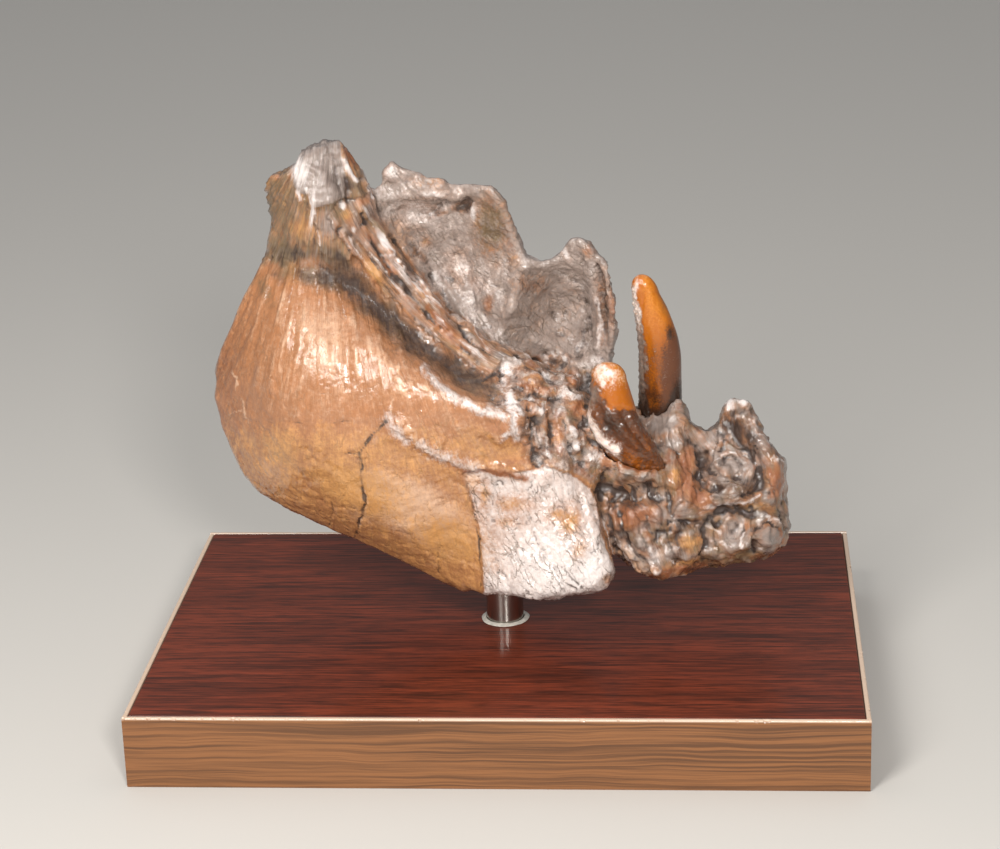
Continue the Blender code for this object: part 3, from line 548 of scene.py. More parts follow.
# Ridges and grooves: height, half width, line.
FORMS = [
    # neck
    (1.1, 0.9, -81.5, 223, -80.5, 219), (1.3, 1, -77.5, 224, -75.5, 214, -74, 206, -73, 196),
    (-1, 0.9, -79.5, 221, -78, 212, -76.5, 202), (-1.6, 0.8, -62, 228, -61.4, 223, -62, 219),
    (1.5, 1, -62, 236, -59.5, 231, -57, 226), (1, 0.9, -57, 235, -54, 227, -51, 219),
    (-1, 0.9, -59, 233, -56, 226, -54, 221), (1.4, 1.7, -63.6, 216.4, -63.4, 216.6),
    (1.2, 1.5, -59.6, 206, -59.4, 206.2), (1.1, 1, -63.5, 202, -60, 196),
    (-1.2, 1, -66.5, 206, -64, 198, -59, 192), (0.7, 1, -87, 214, -86, 200, -87, 190),
    (0.6, 0.8, -82, 205, -82, 192, -84, 181),
    # band
    (-2.4, 1, -55.5, 212, -51.5, 200, -49, 194, -43, 183),
    (1.8, 1.5, -50.5, 207, -47, 202, -44.5, 196, -41, 190),
    (-1.8, 0.9, -46.5, 207, -42.5, 196, -35, 184, -28, 175),
    (1.3, 1.5, -53.5, 206, -51.5, 199, -48.5, 191), (-2, 0.9, -66, 205, -62, 196, -56, 187, -50, 180),
    (1.4, 1.1, -26, 187, -17, 171, -10, 156), (-1.6, 0.9, -29, 186, -20, 170, -13, 157),
    (-2, 1, -38, 178, -30, 168, -22, 160, -14, 152), (1.3, 1.3, -33, 176, -26, 167, -18, 158, -9, 150),
    (-1.4, 0.8, -21, 168, -13, 158, -5, 151),
    # wall
    (1.7, 5, -16, 196, -14, 188, -13, 180), (1.5, 2.8, -36, 220, -30, 222.5, -23, 221.5, -18, 219),
    (-1.6, 1.4, -36, 225.5, -29, 227, -22, 227, -17, 224),
    (-2.6, 1.1, -30, 211, -27.5, 212, -24.5, 213, -17.5, 215.5, -11.5, 216),
    (-1.6, 2.4, -15, 213.5, -12.5, 214.5), (1.2, 1, -9.5, 216, -9, 209),
    (1, 0.9, 3.5, 216, 6.5, 208.5, 10, 200, 14.5, 193),
    (1.2, 1.6, 12, 191, 5, 189, -2, 185, -7, 178, -7, 168, -3, 158),
    (-2, 1.5, 31, 182, 35, 173, 35.5, 164, 33, 155), (1.2, 1, 36.5, 192, 39.5, 181, 41, 169.5, 39.5, 153),
    (-2.2, 0.8, 40, 193, 42.6, 182, 43.8, 169, 42.5, 152),
    (1, 0.9, 43, 190, 45.6, 176, 46.2, 162, 44.5, 149),
    (-1.6, 0.8, 45.5, 188, 48, 175, 48.6, 163, 47, 149),
    (-1.5, 1.2, -44, 214, -40, 205, -33, 195, -26, 187), (-1.2, 2, -1, 206, 2, 200, 3, 193),
    # rubble
    (-2.2, 1.3, 18.5, 151, 23, 151, 25.5, 147, 22.5, 143),
    (1.6, 0.9, 24.5, 152, 27.5, 148.5, 30, 144, 31, 141), (1.4, 1, 22, 145, 24.5, 140.5, 26.5, 138),
    (-1.2, 0.8, 28.5, 150, 31.5, 144), (1.8, 1.8, 29.3, 140.5, 29.7, 138.5),
    (1.6, 1, 26.5, 133.5, 30, 132, 34.5, 132.5), (-1.8, 0.9, 28, 136, 31, 135, 35, 136.5),
    (1.6, 1.6, 10.5, 136, 14, 135.5, 18, 135, 23.5, 135.5), (-1.6, 0.9, 9, 132, 15, 131, 22, 131.5),
    (1.6, 1.8, 3, 137, 4, 130, 7, 123.5, 8.5, 112),
    (-1.8, 1, 9.5, 134, 10.5, 127, 12, 120, 12, 111, 13, 103),
    (-1.8, 0.8, 18.3, 128, 19.5, 121, 19.6, 113), (1.2, 1.2, 15.2, 125, 16, 119, 17, 114),
    (1.8, 1.5, 22, 124, 23, 115.5, 24, 110, 24.6, 103),
    (-1.6, 0.9, 26.2, 122, 27, 114, 27.6, 108, 30, 103), (1.5, 1.6, 29.5, 117, 32.5, 111.5, 35.5, 104),
    (1.6, 2, 31.5, 128, 31.8, 126), (-2, 1, 30, 121.5, 34, 119.5, 37, 112, 41, 107, 47, 104.5),
    (1.3, 1.4, 17, 112, 19, 109.5, 17, 107.5, 15, 109.5, 17, 112), (1.2, 1.8, -2, 113.5, 3, 117),
    (1, 1.2, -10.5, 100.5, -3.5, 100, 2.5, 98, 8.5, 96), (-1.2, 1, -8, 103.5, 0, 102.5, 7, 100),
    (-1.6, 1.2, -9, 138, -6, 142, -1, 143),
    # block
    (1.6, 4.5, 66, 120, 70, 112, 73, 100, 76, 88), (1.5, 4, 96, 127, 97, 118, 96, 108, 95, 100),
    (-2.2, 3.5, 84, 108, 82, 100, 85, 92), (-2.2, 3, 42, 88, 50, 86, 58, 84, 62, 90),
    (1.8, 4, 49, 74, 52, 64, 58, 56), (-1.8, 2.5, 74, 75, 82, 76, 90, 77),
    (1.4, 3, 112, 104, 116, 96, 118, 86), (-1.4, 3, 106, 99, 107, 92, 105, 86),
    (1.2, 3, 76, 60, 86, 62, 92, 60), (1.3, 1.1, 78.5, 119.5, 84, 114.5, 87.5, 106.5, 91.5, 100),
    (-1.8, 1.2, 76, 116, 80.5, 111, 84, 104, 87, 98), (-1.6, 1, 65.5, 116, 68, 104, 69, 90, 70, 78),
    (1.2, 1.2, 68.5, 119, 70.8, 106, 71, 95, 72, 81), (-1, 0.8, 71, 115, 73.5, 103, 75, 90, 75.5, 81),
    (1.2, 1.2, 72.5, 117, 75.5, 104, 77.5, 89.5, 79, 81), (-1, 0.8, 75, 112, 78.3, 101, 80.6, 90, 82, 82),
    (1.1, 1.2, 76, 114, 80.5, 101, 83, 90.5, 85.5, 83.5), (-2.6, 2.2, 82.5, 103.5, 84, 100, 83.5, 96),
    (1.8, 1.3, 85, 101, 86.5, 95, 91.5, 92, 98, 91),
    (1.7, 1.1, 89.5, 101, 90.5, 105.5, 93.5, 107.8, 97.5, 106.5, 100.5, 103, 103.5, 98.5),
    (-1.6, 0.9, 92, 101, 93.5, 104.5, 96.5, 104.8, 98.5, 101.5), (1.3, 2.2, 94.5, 99.5, 97, 97.5),
    (-2, 0.9, 97, 126, 97, 116, 98.5, 111, 103, 106.5, 105, 102), (1.2, 2, 94, 123, 94.5, 119),
    (1.3, 1.6, 101, 121, 102.5, 115), (1.4, 1.3, 105.5, 122, 107.5, 115.5, 112, 109.5, 115.5, 104),
    (-1.6, 1, 103, 119, 105, 112, 109, 106), (-2.2, 1.8, 107.5, 100, 106, 92, 102, 87.5),
    (1.4, 1.6, 105.5, 101.5, 107, 99),
    (1.8, 1.1, 87, 86.5, 90.5, 83.5, 94.5, 84.3, 100, 84.3, 104, 84.3, 108, 88),
    (-1.6, 1, 86, 90, 91, 88, 97, 88.5, 102, 88.5), (1.5, 1, 74.5, 78.5, 81.5, 79, 87, 80.5),
    (-2.4, 1.5, 76, 74.5, 83, 75, 89.5, 73.5), (-2, 1.3, 91.5, 77, 94, 80.3, 99, 80.3, 102.8, 77.5),
    (1.3, 1, 91, 73, 91.7, 67.5, 94.5, 63.5, 99, 63), (2.2, 4.2, 110.8, 69.5, 111.2, 67.5),
    (1.6, 1.2, 106.5, 75, 109.5, 77.8, 115, 75, 120, 73), (-1.8, 0.9, 107, 72.5, 111, 74.5, 116, 72.5),
    (-2, 1.1, 105.3, 73, 104.8, 67.5, 105.5, 60), (1.8, 3.2, 64, 79, 65.5, 75.5),
    (-1.8, 1, 59.5, 76, 61, 70.5, 65, 69, 70.5, 71.5, 71, 77), (-2.2, 2.4, 46, 88, 52, 86.5, 58, 84),
    (1.5, 0.9, 41.5, 79, 43.5, 65, 49, 54.5, 56, 49.5),
    (-2.2, 0.7, 43.7, 79, 45.7, 66, 51, 56.5, 57.5, 51), (1.5, 1, 45.8, 79, 48, 67.5, 53, 58.5, 59, 52.5),
    (-2, 0.7, 48, 79, 50.4, 68.5, 55.4, 60, 61, 53.5), (1.4, 1.1, 50.4, 77.5, 53.2, 69, 58, 61, 64, 54),
    (1.2, 0.9, 60, 66, 62, 59.5, 63.8, 52), (-1.2, 0.7, 62.3, 67, 64.3, 60, 66.5, 53),
    (1.2, 0.9, 65.5, 67, 68, 60.5, 70, 55), (-1.2, 0.8, 68.5, 68, 71, 61, 73, 56),
    (1.4, 1.6, 76, 66, 80, 62), (1.4, 1.3, 86.5, 68.5, 86.5, 66), (-1.4, 0.9, 83, 70, 84, 64, 83, 59),
    (1.4, 1.4, 95, 61.5, 96.5, 60.5), (1.4, 1.2, 95.5, 129, 96, 126.5), (1.4, 1.2, 101, 130, 100.5, 127),
    (1.2, 1.2, 98.5, 124, 99.5, 122),
    # plate
    (-1.1, 0.55, 9, 87, 10, 79, 12, 73), (-1.2, 0.55, 9, 74, 12, 65.5, 16, 57.5),
    (-1.2, 0.55, 18, 62, 22.5, 52, 28, 41), (-1.2, 0.55, 2, 62, 6, 53, 9.5, 46),
    (-1.1, 0.55, 9, 50, 13.5, 41), (-1.1, 0.55, 24, 60, 30, 49, 34, 42), (-1, 0.5, -4, 52, 0, 44),
    (-0.9, 0.55, -5, 90, -4, 80, -3, 72), (-1.1, 0.6, 24, 92, 25, 84, 28, 77),
    (0.8, 1.4, 8, 95, 8, 88, 7, 82), (0.8, 1.6, 32, 90, 35, 82, 37, 72),
    # whole bone
    (1.5, 2.4, -34, 145.5, -27, 138, -20, 132, -9.5, 126.5, 2, 123),
    (-0.7, 3, -28, 145, -20, 138, -10, 132, 0, 129),
    (1.2, 1.8, -49, 125, -44, 118, -35.5, 110.5, -23.5, 104, -12, 100),
    (-0.6, 2, -46, 115, -37, 107, -25, 100.5, -15, 97),
]
# How much of each tone lies on each zone.
SHARES = {
    "light": {"bare": 0.3, "band": 0.1, "wall": 0.32, "rubble": 0.1, "end": -0.2},
    "ochre": {
        "low": 0.5, "neck": 0.45, "wall": 0.12, "plate": 0.1, "band": 0.35, "rubble": 0.27, "block": 0.2,
    },
    "olive": {
        "neck": 0.6, "low": 0.15, "open": 0.42, "block": 0.6, "band": 0.4, "socket": 0.4, "rubble": 0.45,
        "groove": 0.62,
    },
    "taupe": {
        "groove": 0.25, "wall": 0.75, "band": 0.42, "rubble": 0.5, "block": 0.52, "platelet": 1,
        "neck": 0.2, "whole": 0.1, "plate": 0.4,
    },
    "rust": {"band": 0.25, "open": 0.1, "rubble": 0.3, "block": 0.25, "end": 0.45},
    "dark": {
        "groove": 0.72, "band": 0.36, "open": 0.08, "rubble": 0.3, "block": 0.38, "neck": 0.3, "end": 0.3,
    },
    # On the plate the cream share is partly its pale inner bone and partly a painted glare.
    "cream": {
        "plate": 0.6, "plate_foot": 0.14, "band": 0.18, "rubble": 0.24, "platelet": 0.15, "open": 0.31,
        "socket": 0.12, "block": 0.05,
    },
}
# How much of each finish lies on each zone.
FINISHES = {
    "fibrous": {"neck": 1, "band": 0.8, "whole": 0.4, "block": 0.6},
    "coarse": {"all": 0.3, "broken": 0.7, "plate": 0.4, "ridges": 1},
    "matt": {"socket": 0.6, "wall": 0.1, "lip": 1.2},
    "even": {"plate": 0.8, "wall": 0.2, "block": 0.3},
    "crazed": {"plate": 0.7, "smooth": 0.32, "wall": 0.4},
}
# Streaks of tone: strength, half width, line. The first five cream streaks are painted highlights
# along the glossy ridges, and most cream streaks on the block are painted glints.
PAINTED_HIGHLIGHT_STREAKS = 5
STREAKS = {
    "cream": [
        (0.7, 2.6, -33, 145, -27, 137.5, -20, 131.5, -9.5, 126, 1, 123.5),
        (0.65, 2.8, 1, 137, 2.5, 130, 4, 122, 5, 114), (0.7, 1.6, -1, 113, 6, 118),
        (0.55, 4.2, -36, 111, -28, 106.5, -20, 102.5, -13, 100.5),
        (0.55, 4.2, -49, 124, -46, 118, -42, 113), (1, 0.9, -81.5, 222.5, -80.5, 219),
        (1, 0.9, -77.5, 223.5, -75.5, 213), (0.75, 0.6, -75.5, 213, -73.5, 199.5),
        (1, 0.9, -62, 236, -57, 226.5), (0.8, 0.6, -57, 236, -51, 219),
        (0.6, 0.45, -84.5, 190, -86, 183, -88, 175), (0.6, 0.45, -77, 188, -76, 180, -75, 172),
        (0.5, 0.45, -69, 184, -66, 175, -64, 167), (0.7, 0.8, -62, 203, -58, 196, -53, 189),
        (0.8, 0.8, -42, 193, -36, 184, -30, 177), (0.7, 0.7, -14, 168, -9, 159, -5, 153),
        (0.6, 1, 87, 86.5, 90.5, 83.5, 94.5, 84.3, 100, 84.3, 104, 84.3, 108, 88),
        (0.5, 0.9, 74.5, 79.5, 82, 80.5, 88, 82.5), (0.75, 0.6, 41, 78, 43.5, 64.5, 50, 53.5, 56, 50),
        (0.8, 1.1, 47, 68, 50, 60, 54, 55), (0.8, 0.9, 60, 66, 63, 58, 65, 53),
        (0.7, 0.8, 66, 67, 69, 60, 72, 56), (0.5, 0.7, 88, 111, 93, 122, 95, 128),
        (0.5, 0.7, 104, 124, 108, 115, 113, 108), (0.7, 0.8, 113, 104, 117, 103),
        (0.6, 0.6, 89, 101, 91, 105.5, 94, 107.5, 97.5, 106.5), (0.6, 0.7, 91, 72, 91.7, 67, 94, 64),
        (0.8, 1, 101, 71, 100.5, 64), (0.7, 0.8, 106.5, 75, 111, 77.5, 116, 75),
        (0.7, 0.8, 41, 176, 42, 165, 41, 154),
    ],
    # Dark streaks laid along the drawn grooves and crevices: partly dark stain, partly painted shade.
    "dark": [
        (0.9, 0.8, -51.5, 200, -49, 194), (0.8, 0.8, -62, 228, -61.4, 223, -62, 219),
        (0.6, 0.8, -58, 201, -50, 189, -42, 178), (0.7, 0.9, -44, 204, -38, 192, -31, 181),
        (0.8, 0.9, 10, 131, 11, 122, 12.5, 112), (0.7, 0.9, 19, 128, 19.5, 120, 19.6, 112),
        (0.8, 0.9, 30, 120, 34.5, 117.5, 38, 110.5, 44, 105.5),
        (0.8, 1, 97, 119, 98.5, 112, 103, 107, 105, 102), (0.8, 1.2, 88, 98, 84, 101, 80, 108),
        (0.8, 1.3, 76, 75.5, 83, 76, 89.5, 74.5), (0.8, 1.2, 43.7, 79, 45.7, 66, 51, 56.5),
        (0.8, 1.1, 48, 79, 50.4, 68.5, 55.4, 60), (0.8, 1, 105.3, 73, 104.8, 67.5, 105.5, 61),
        (0.7, 1, 72, 74, 73, 66, 74, 59), (0.7, 1, 83, 71, 84, 64, 83.5, 59),
        (0.7, 1.2, 108, 98, 106, 92, 103, 88), (0.6, 0.8, 42.6, 182, 43.8, 169, 42.5, 155),
    ],
    "rust": [
        (0.9, 1.6, -17, 98.5, -8, 99.5, 2, 97, 9, 95.5), (0.8, 3, 72, 106, 76, 96, 80, 87),
        (0.9, 1.8, 62, 51, 75, 54, 86, 56.5), (0.9, 1, -60, 240, -57.5, 234),
        (0.8, 2.4, 48, 103, 56, 100, 63, 100), (0.8, 2, 112, 100, 114, 94, 113, 88),
        (0.7, 2, 116, 72, 118, 65, 113, 60), (0.7, 1.6, -30, 172, -23, 162, -17, 154),
        (0.7, 1.6, -53, 203, -49, 195, -44, 187),
    ],
}
# Spots of tone: strength, x, z, half width, half height, turn in degrees.
SPOTS = {
    "light": [
        (1, -40, 82, 30, 15, -30), (0.6, -40, 203, 7, 9, 20), (0.5, 84, 60, 6, 4),
        (0.8, 52, 60, 5, 12, 35), (0.7, 60, 54, 6, 5), (0.6, 26, 147, 2, 5, 30), (0.5, 23, 114, 1.6, 8),
        (0.5, 97, 97.5, 4, 2.5), (0.5, 71, 118, 4), (0.6, -75, 158, 16, 22, 10),
        (0.6, -60, 84, 16, 12, -30), (0.5, -30, 66, 14, 10, -30), (0.5, -100, 100, 8, 10, 20),
        (0.7, -14, 96, 5, 8), (0.6, -47, 199, 2.5, 6, 30), (0.5, -63, 196, 2, 5, 30), (0.5, 64, 60, 5, 7),
        (0.4, -22, 221, 9, 3), (0.5, -15, 190, 6, 9),
    ],
    "ochre": [
        (0.8, 73, 100, 3, 12, -5), (0.7, 104, 82, 10, 3), (0.7, 78, 66, 6, 5), (0.9, -97, 228, 5, 4),
        (0.6, -80, 207, 7, 5), (0.6, -88, 217, 3, 6), (0.9, -63, 213, 3), (0.8, -52, 188, 3, 8, 30),
        (0.5, -6, 208, 6), (0.5, -27, 226, 9, 3), (0.35, -30, 200, 4, 5), (0.45, 6, 193, 3, 6, 10),
        (0.8, -65, 92, 34, 18, -28), (0.8, -25, 66, 24, 16, -28), (0.7, -96, 108, 16, 14),
        (0.5, -81, 205, 6, 9), (0.5, -86, 190, 5, 10), (0.6, -5, 208, 6), (0.7, 27, 76, 5, 8, -10),
        (0.6, 31, 63, 4, 6, -20), (0.6, 2, 84, 9, 5), (0.5, 0, 76, 7, 4), (0.6, 22, 79, 6, 4),
        (0.6, -9, 88, 3, 8), (0.8, 43, 49, 3), (0.5, 12, 140, 5, 4), (0.4, 66, 90, 8), (0.5, 34, 132, 3),
        (0.6, 76, 57, 12, 2.5, 15),
    ],
    "olive": [
        (0.9, -2, 207, 8, 13), (0.7, 100, 60, 12, 5, 10), (0.8, -94, 214, 4, 12), (0.7, -66, 214, 6),
        (0.7, -89, 212, 5, 13), (0.5, -88, 192, 5, 8), (0.5, -98, 180, 4, 14, 25),
        (0.5, 92, 76, 10, 4, 10), (0.4, 40, 97, 6, 5), (0.3, -76, 190, 8, 6),
    ],
    "taupe": [
        (1, 67, 120, 9, 6), (0.8, 72, 111, 5, 6), (0.8, 97, 72, 6, 7.5), (0.9, 111, 68, 5.5, 6),
        (0.9, 98, 101, 9, 7), (0.7, 88, 112, 4, 9, -20), (0.7, 55, 61, 4, 12, 35),
        (0.7, 108, 112, 3, 8, 30), (0.7, -70, 208, 6, 9), (0.4, -76, 192, 12, 6),
        (0.6, -52, 200, 3, 8, 25), (0.5, -36, 172, 5, 6, 40), (0.4, 85, 105, 7, 12, 30),
        (0.6, 97, 102, 7), (0.5, 97, 74, 6, 7), (0.5, 70, 118, 6), (0.6, 47, 68, 3, 12, 25),
        (0.5, 66, 77, 5),
    ],
    "rust": [
        (0.9, 76, 98, 4, 16, -8), (1, 81, 87, 5, 4), (0.8, 54, 80, 13, 8), (0.9, 115, 94, 3, 9),
        (0.8, 31.5, 127.5, 3, 4), (0.7, 29.5, 139.5, 2), (0.6, 15, 135, 7, 2), (0.6, -3, 99, 8, 1.6, -10),
        (0.6, 79, 92, 6, 10, -15), (0.7, 106, 101, 2, 3), (0.7, 115.5, 93, 3, 4), (0.6, 44, 102, 4),
        (0.8, -59, 238, 3.5, 6, 25), (0.5, -91, 229, 4, 2.5), (0.5, -55, 218, 3, 2),
        (0.6, -24, 164, 4, 9, 35), (0.4, -4, 173, 2.5, 5), (0.35, 5, 198, 2.5, 5, 10),
        (0.5, 38, 196, 3, 4, -30), (0.5, 47, 172, 2.5, 12), (0.6, 11, 137, 6, 2.5),
        (0.6, 30, 139, 2.5, 3), (0.5, 0, 119, 7, 5), (0.7, 76, 96, 5, 14, -5), (0.6, 84, 84, 7, 5),
        (0.7, 44, 48, 4), (0.5, 80, 54, 14, 2.5, 14), (0.6, 95, 61, 3, 2), (0.5, 64, 101, 8, 4, 10),
        (0.5, 111, 100, 3, 9), (0.5, 3, 103, 9, 3), (0.5, 22, 116, 4, 5),
    ],
    # Dark spots in the recesses and pits: partly dark stain, partly painted shade.
    "dark": [
        (0.6, 54, 84, 11, 4), (0.9, 98, 116, 5, 8), (0.8, 104, 114, 4, 6, 30), (0.9, 95, 119, 5),
        (0.6, 96, 84, 9, 2.5), (0.7, 44, 84, 4, 6), (0.6, 43, 172, 3, 16), (0.9, -14, 214.5, 5, 1.6, 5),
        (0.7, -24, 212, 5, 1, 10), (0.45, 14, 181, 8, 4), (0.6, -33, 196, 1.5, 7, 40),
        (0.8, 22, 148, 3.5, 3), (0.8, 83.5, 100, 2, 3.5), (0.7, 97, 80, 5, 1.6), (0.7, 83, 74.5, 7, 1.6),
        (0.7, 94.5, 121.5, 2.5, 3.5), (0.6, 104, 92, 3, 6), (0.7, 50, 87, 8, 3), (0.6, -6, 140, 3),
        (0.6, 19.5, 120, 0.8, 8), (0.6, 102, 116, 2, 5, 10), (0.6, -60, 180, 5, 12, 45),
        (0.5, -28, 150, 7, 14, 55), (0.5, -51, 197, 1.5, 6, 25), (0.7, 52, 87, 9, 5), (0.5, 41, 84, 3, 5),
        (0.5, 42, 174, 2, 14), (0.6, 94, 121, 3, 2.5), (0.5, -27, 211, 4, 1.5, 20), (0.6, -13, 214, 3, 2),
        (0.4, 12, 183, 5, 3), (0.5, 9, 118, 3, 9), (0.5, -6, 142, 6, 3, -30), (0.5, -67, 227, 5, 8, 15),
        (0.45, -83, 200, 6, 5, 30), (0.4, -72, 207, 4, 6, 20), (0.4, -62, 104, 3, 10),
        (0.6, 26, 148, 4, 3.5), (0.5, 104, 79, 4, 3),
    ],
    # Cream spots: fresh chips, painted glints on the knob, the disc and the ledge of the block, and a
    # painted highlight by the upper ridge.
    "cream": [
        (0.7, -27, 221, 8, 2), (0.6, -15, 190, 6), (0.6, -33, 213, 8), (0.5, -8, 182, 4),
        (0.9, 4, 130, 1.8, 7, 10), (0.8, 1, 115.5, 3, 1.6, 30), (0.7, 31, 132, 3.5, 1),
        (0.7, 26.5, 149, 1, 3, 30), (0.5, 94.5, 84.2, 7, 0.9), (0.6, 108.5, 63, 1.5),
        (0.6, 100.5, 65, 1.5), (0.6, 87, 83.5, 2, 1), (0.5, 14, 97, 5, 3), (0.5, 87, 67, 1.5),
        (0.6, 101, 90, 1), (1, -80, 231, 4, 6), (0.9, -63.5, 216.5, 2), (0.7, -59.5, 206, 1.6),
        (1, -47.5, 201, 1.5, 6, 28), (1, -76, 215, 1, 9, -10), (0.9, -81, 221, 1, 2.5),
        (0.9, -60, 231, 1.2, 5, 30), (0.8, -42, 230, 4), (0.8, -9.5, 212, 1.4, 4),
        (0.8, 28, 195, 1.6, 5, 20), (0.6, 40, 174, 1, 3), (0.6, 2.5, 136, 2.5, 3),
        (0.9, 95.5, 128.5, 2.5), (0.9, 101, 129, 2.5), (0.7, 99, 123, 2.5, 1.8), (0.6, 63, 60, 4, 6, 15),
        (0.5, -25, 166, 1.5, 4, 35), (0.5, 88, 83, 8, 1.2, 5), (0.5, -62, 199, 1, 4, 30),
        (0.4, 55, 118, 1, 3), (0.4, 24, 107, 1.5, 2),
    ],
}


class BoneSettings(bpy.types.PropertyGroup):
    """Sizes and colours of the bone."""

    skin_step: bpy.props.FloatProperty(
        name="Skin step",
        description="Size of one face of the skin",
        default=0.00096,
        min=0.0006,
        max=0.004,
        unit="LENGTH",
    )
    relief: bpy.props.FloatProperty(
        name="Relief",
        description="Strength of the lumps, fibres and pits",
        default=1.0,
        min=0.0,
        max=2.0,
    )
    whole: colour_property("Whole bone", "#9E6A45", "The varnished outer bone")
    # Light is also the painted highlight on the heights of the whole bone.
    light: colour_property("Light bone", "#CBA385", "Paler places where the stain is thin")
    ochre: colour_property("Ochre bone", "#B5834F", "The yellower bone low on the jaw")
    olive: colour_property("Olive bone", "#6F5B43", "Greenish brown soil stain")
    taupe: colour_property("Inner bone", "#8F7F76", "The grey inner bone where it is broken")
    rust: colour_property("Rust", "#8A5638", "Iron stain")
    # Dark is also the painted shade in the hollows, crevices and recesses.
    dark: colour_property("Dark bone", "#3C2D26", "Hollows, cracks and the smooth dark groove")
    # Cream is also the colour of the painted highlights and glints, and partly a painted glare on the
    # plate.
    cream: colour_property("Cream", "#D4C9C4", "Fresh chips and the pale plate")


def thin_behind(obj, most):
    """Merges faces, those that look away from the shown side first, down to a number of triangles."""
    mesh = obj.data
    triangles = 2 * len(mesh.polygons)
    if triangles <= most:
        return
    behind = np.flatnonzero(mesh_normals(mesh)[:, 1] > HIDDEN_SLOPE)
    group = obj.vertex_groups.new(name="behind")
    group.add(behind.tolist(), 1.0, "REPLACE")
    thin = obj.modifiers.new("Thin", "DECIMATE")
    thin.ratio = most / triangles
    thin.vertex_group = group.name
    thin.vertex_group_factor = 1000
    apply_modifiers(obj)
    obj.vertex_groups.clear()


def skin_base(step):
    """The bone's CAD solid as one even skin."""
    shape = bmesh.new()
    shape.from_mesh(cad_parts["jaw_bone"].data)
    bmesh.ops.remove_doubles(shape, verts=shape.verts, dist=1e-6)
    mesh = bpy.data.meshes.new("bone_skin")
    shape.to_mesh(mesh)
    shape.free()
    obj = linked("bone_skin", mesh)
    remesh = obj.modifiers.new("Skin", "REMESH")
    remesh.mode = "VOXEL"
    remesh.voxel_size = step
    apply_modifiers(obj)
    thin_behind(obj, MOST_TRIANGLES)
    return obj


def face_places(points):
    """Where the line from FAR_POINT through each point meets the plane y = 0: its x and z."""
    share = -points[:, 1:2] / (FAR_POINT[1] - points[:, 1:2])
    return (points + (FAR_POINT - points) * share)[:, [0, 2]]


def zones_of(places, points):
    """How much each place belongs to each zone, with borders that wander by a millimetre or two."""
    wander = np.column_stack([rough(points, 7, 3, 5), rough(points, 7, 3, 9)]) * WANDER
    zone = {
        name: within(places + wander * share, outline, soft)
        for name, (soft, share, *outline) in ZONES.items()
    }
    for name, others in OVERLAPS.items():
        for other in others:
            zone[name] = zone[name] * (1 - zone[other])
    zone["groove"] = zone["groove"] * ease(204, 184, (places + wander)[:, 1])
    zone["broken"] = np.clip(zone["band"] + zone["wall"] + zone["rubble"] + zone["block"], 0, 1)
    zone["whole"] = (1 - zone["broken"]) * (1 - zone["plate"])
    return zone


def weighed(zone, row):
    """The sum of the zones, each times its weight."""
    return sum(weight * zone[name] for name, weight in row.items())


def along(places, line, number):
    """Millimetres across and along a line of points, and a number that keeps its noise its own."""
    gap, side, run = follow(places, line)
    return gap, np.column_stack([gap * side, run, np.full(len(places), 20.0 * number)])


def stretched(grain, across, along_it):
    """The grain scaled for noise of size 1, whose lumps are so many millimetres across and along."""
    return grain * (1 / across, 1 / along_it, 1)


def grain_of(places, zone):
    """Millimetres across and along the grain: rays on the whole bone, the band's axis, the nearest
    line of FLOWS in the rubble and the block, and tilted fibres on the plate."""
    x, z = places.T
    ray = np.arctan2(x - FAN_CENTRE[0], FAN_CENTRE[1] - z)
    reach = np.hypot(x - FAN_CENTRE[0], z - FAN_CENTRE[1])
    grain = np.column_stack([ray * FAN_RADIUS, reach, np.zeros(len(x))])
    grain = np.where(zone["band"][:, None] > 0.5, along(places, BAND_AXIS, 1)[1], grain)
    closest = np.full(len(x), np.inf)
    flowing = grain
    for number, line in enumerate(FLOWS):
        gap, here = along(places, line, number + 2)
        flowing = np.where((gap < closest)[:, None], here, flowing)
        closest = np.minimum(closest, gap)
    grain = np.where((zone["block"] + zone["rubble"])[:, None] > 0.5, flowing, grain)
    tilt = math.radians(PLATE_TILT)
    across = x * math.cos(tilt) + z * math.sin(tilt)
    down = z * math.cos(tilt) - x * math.sin(tilt)
    plated = np.column_stack([across, down, np.full(len(x), 10.0)])
    return np.where(zone["plate"][:, None] > 0.5, plated, grain)


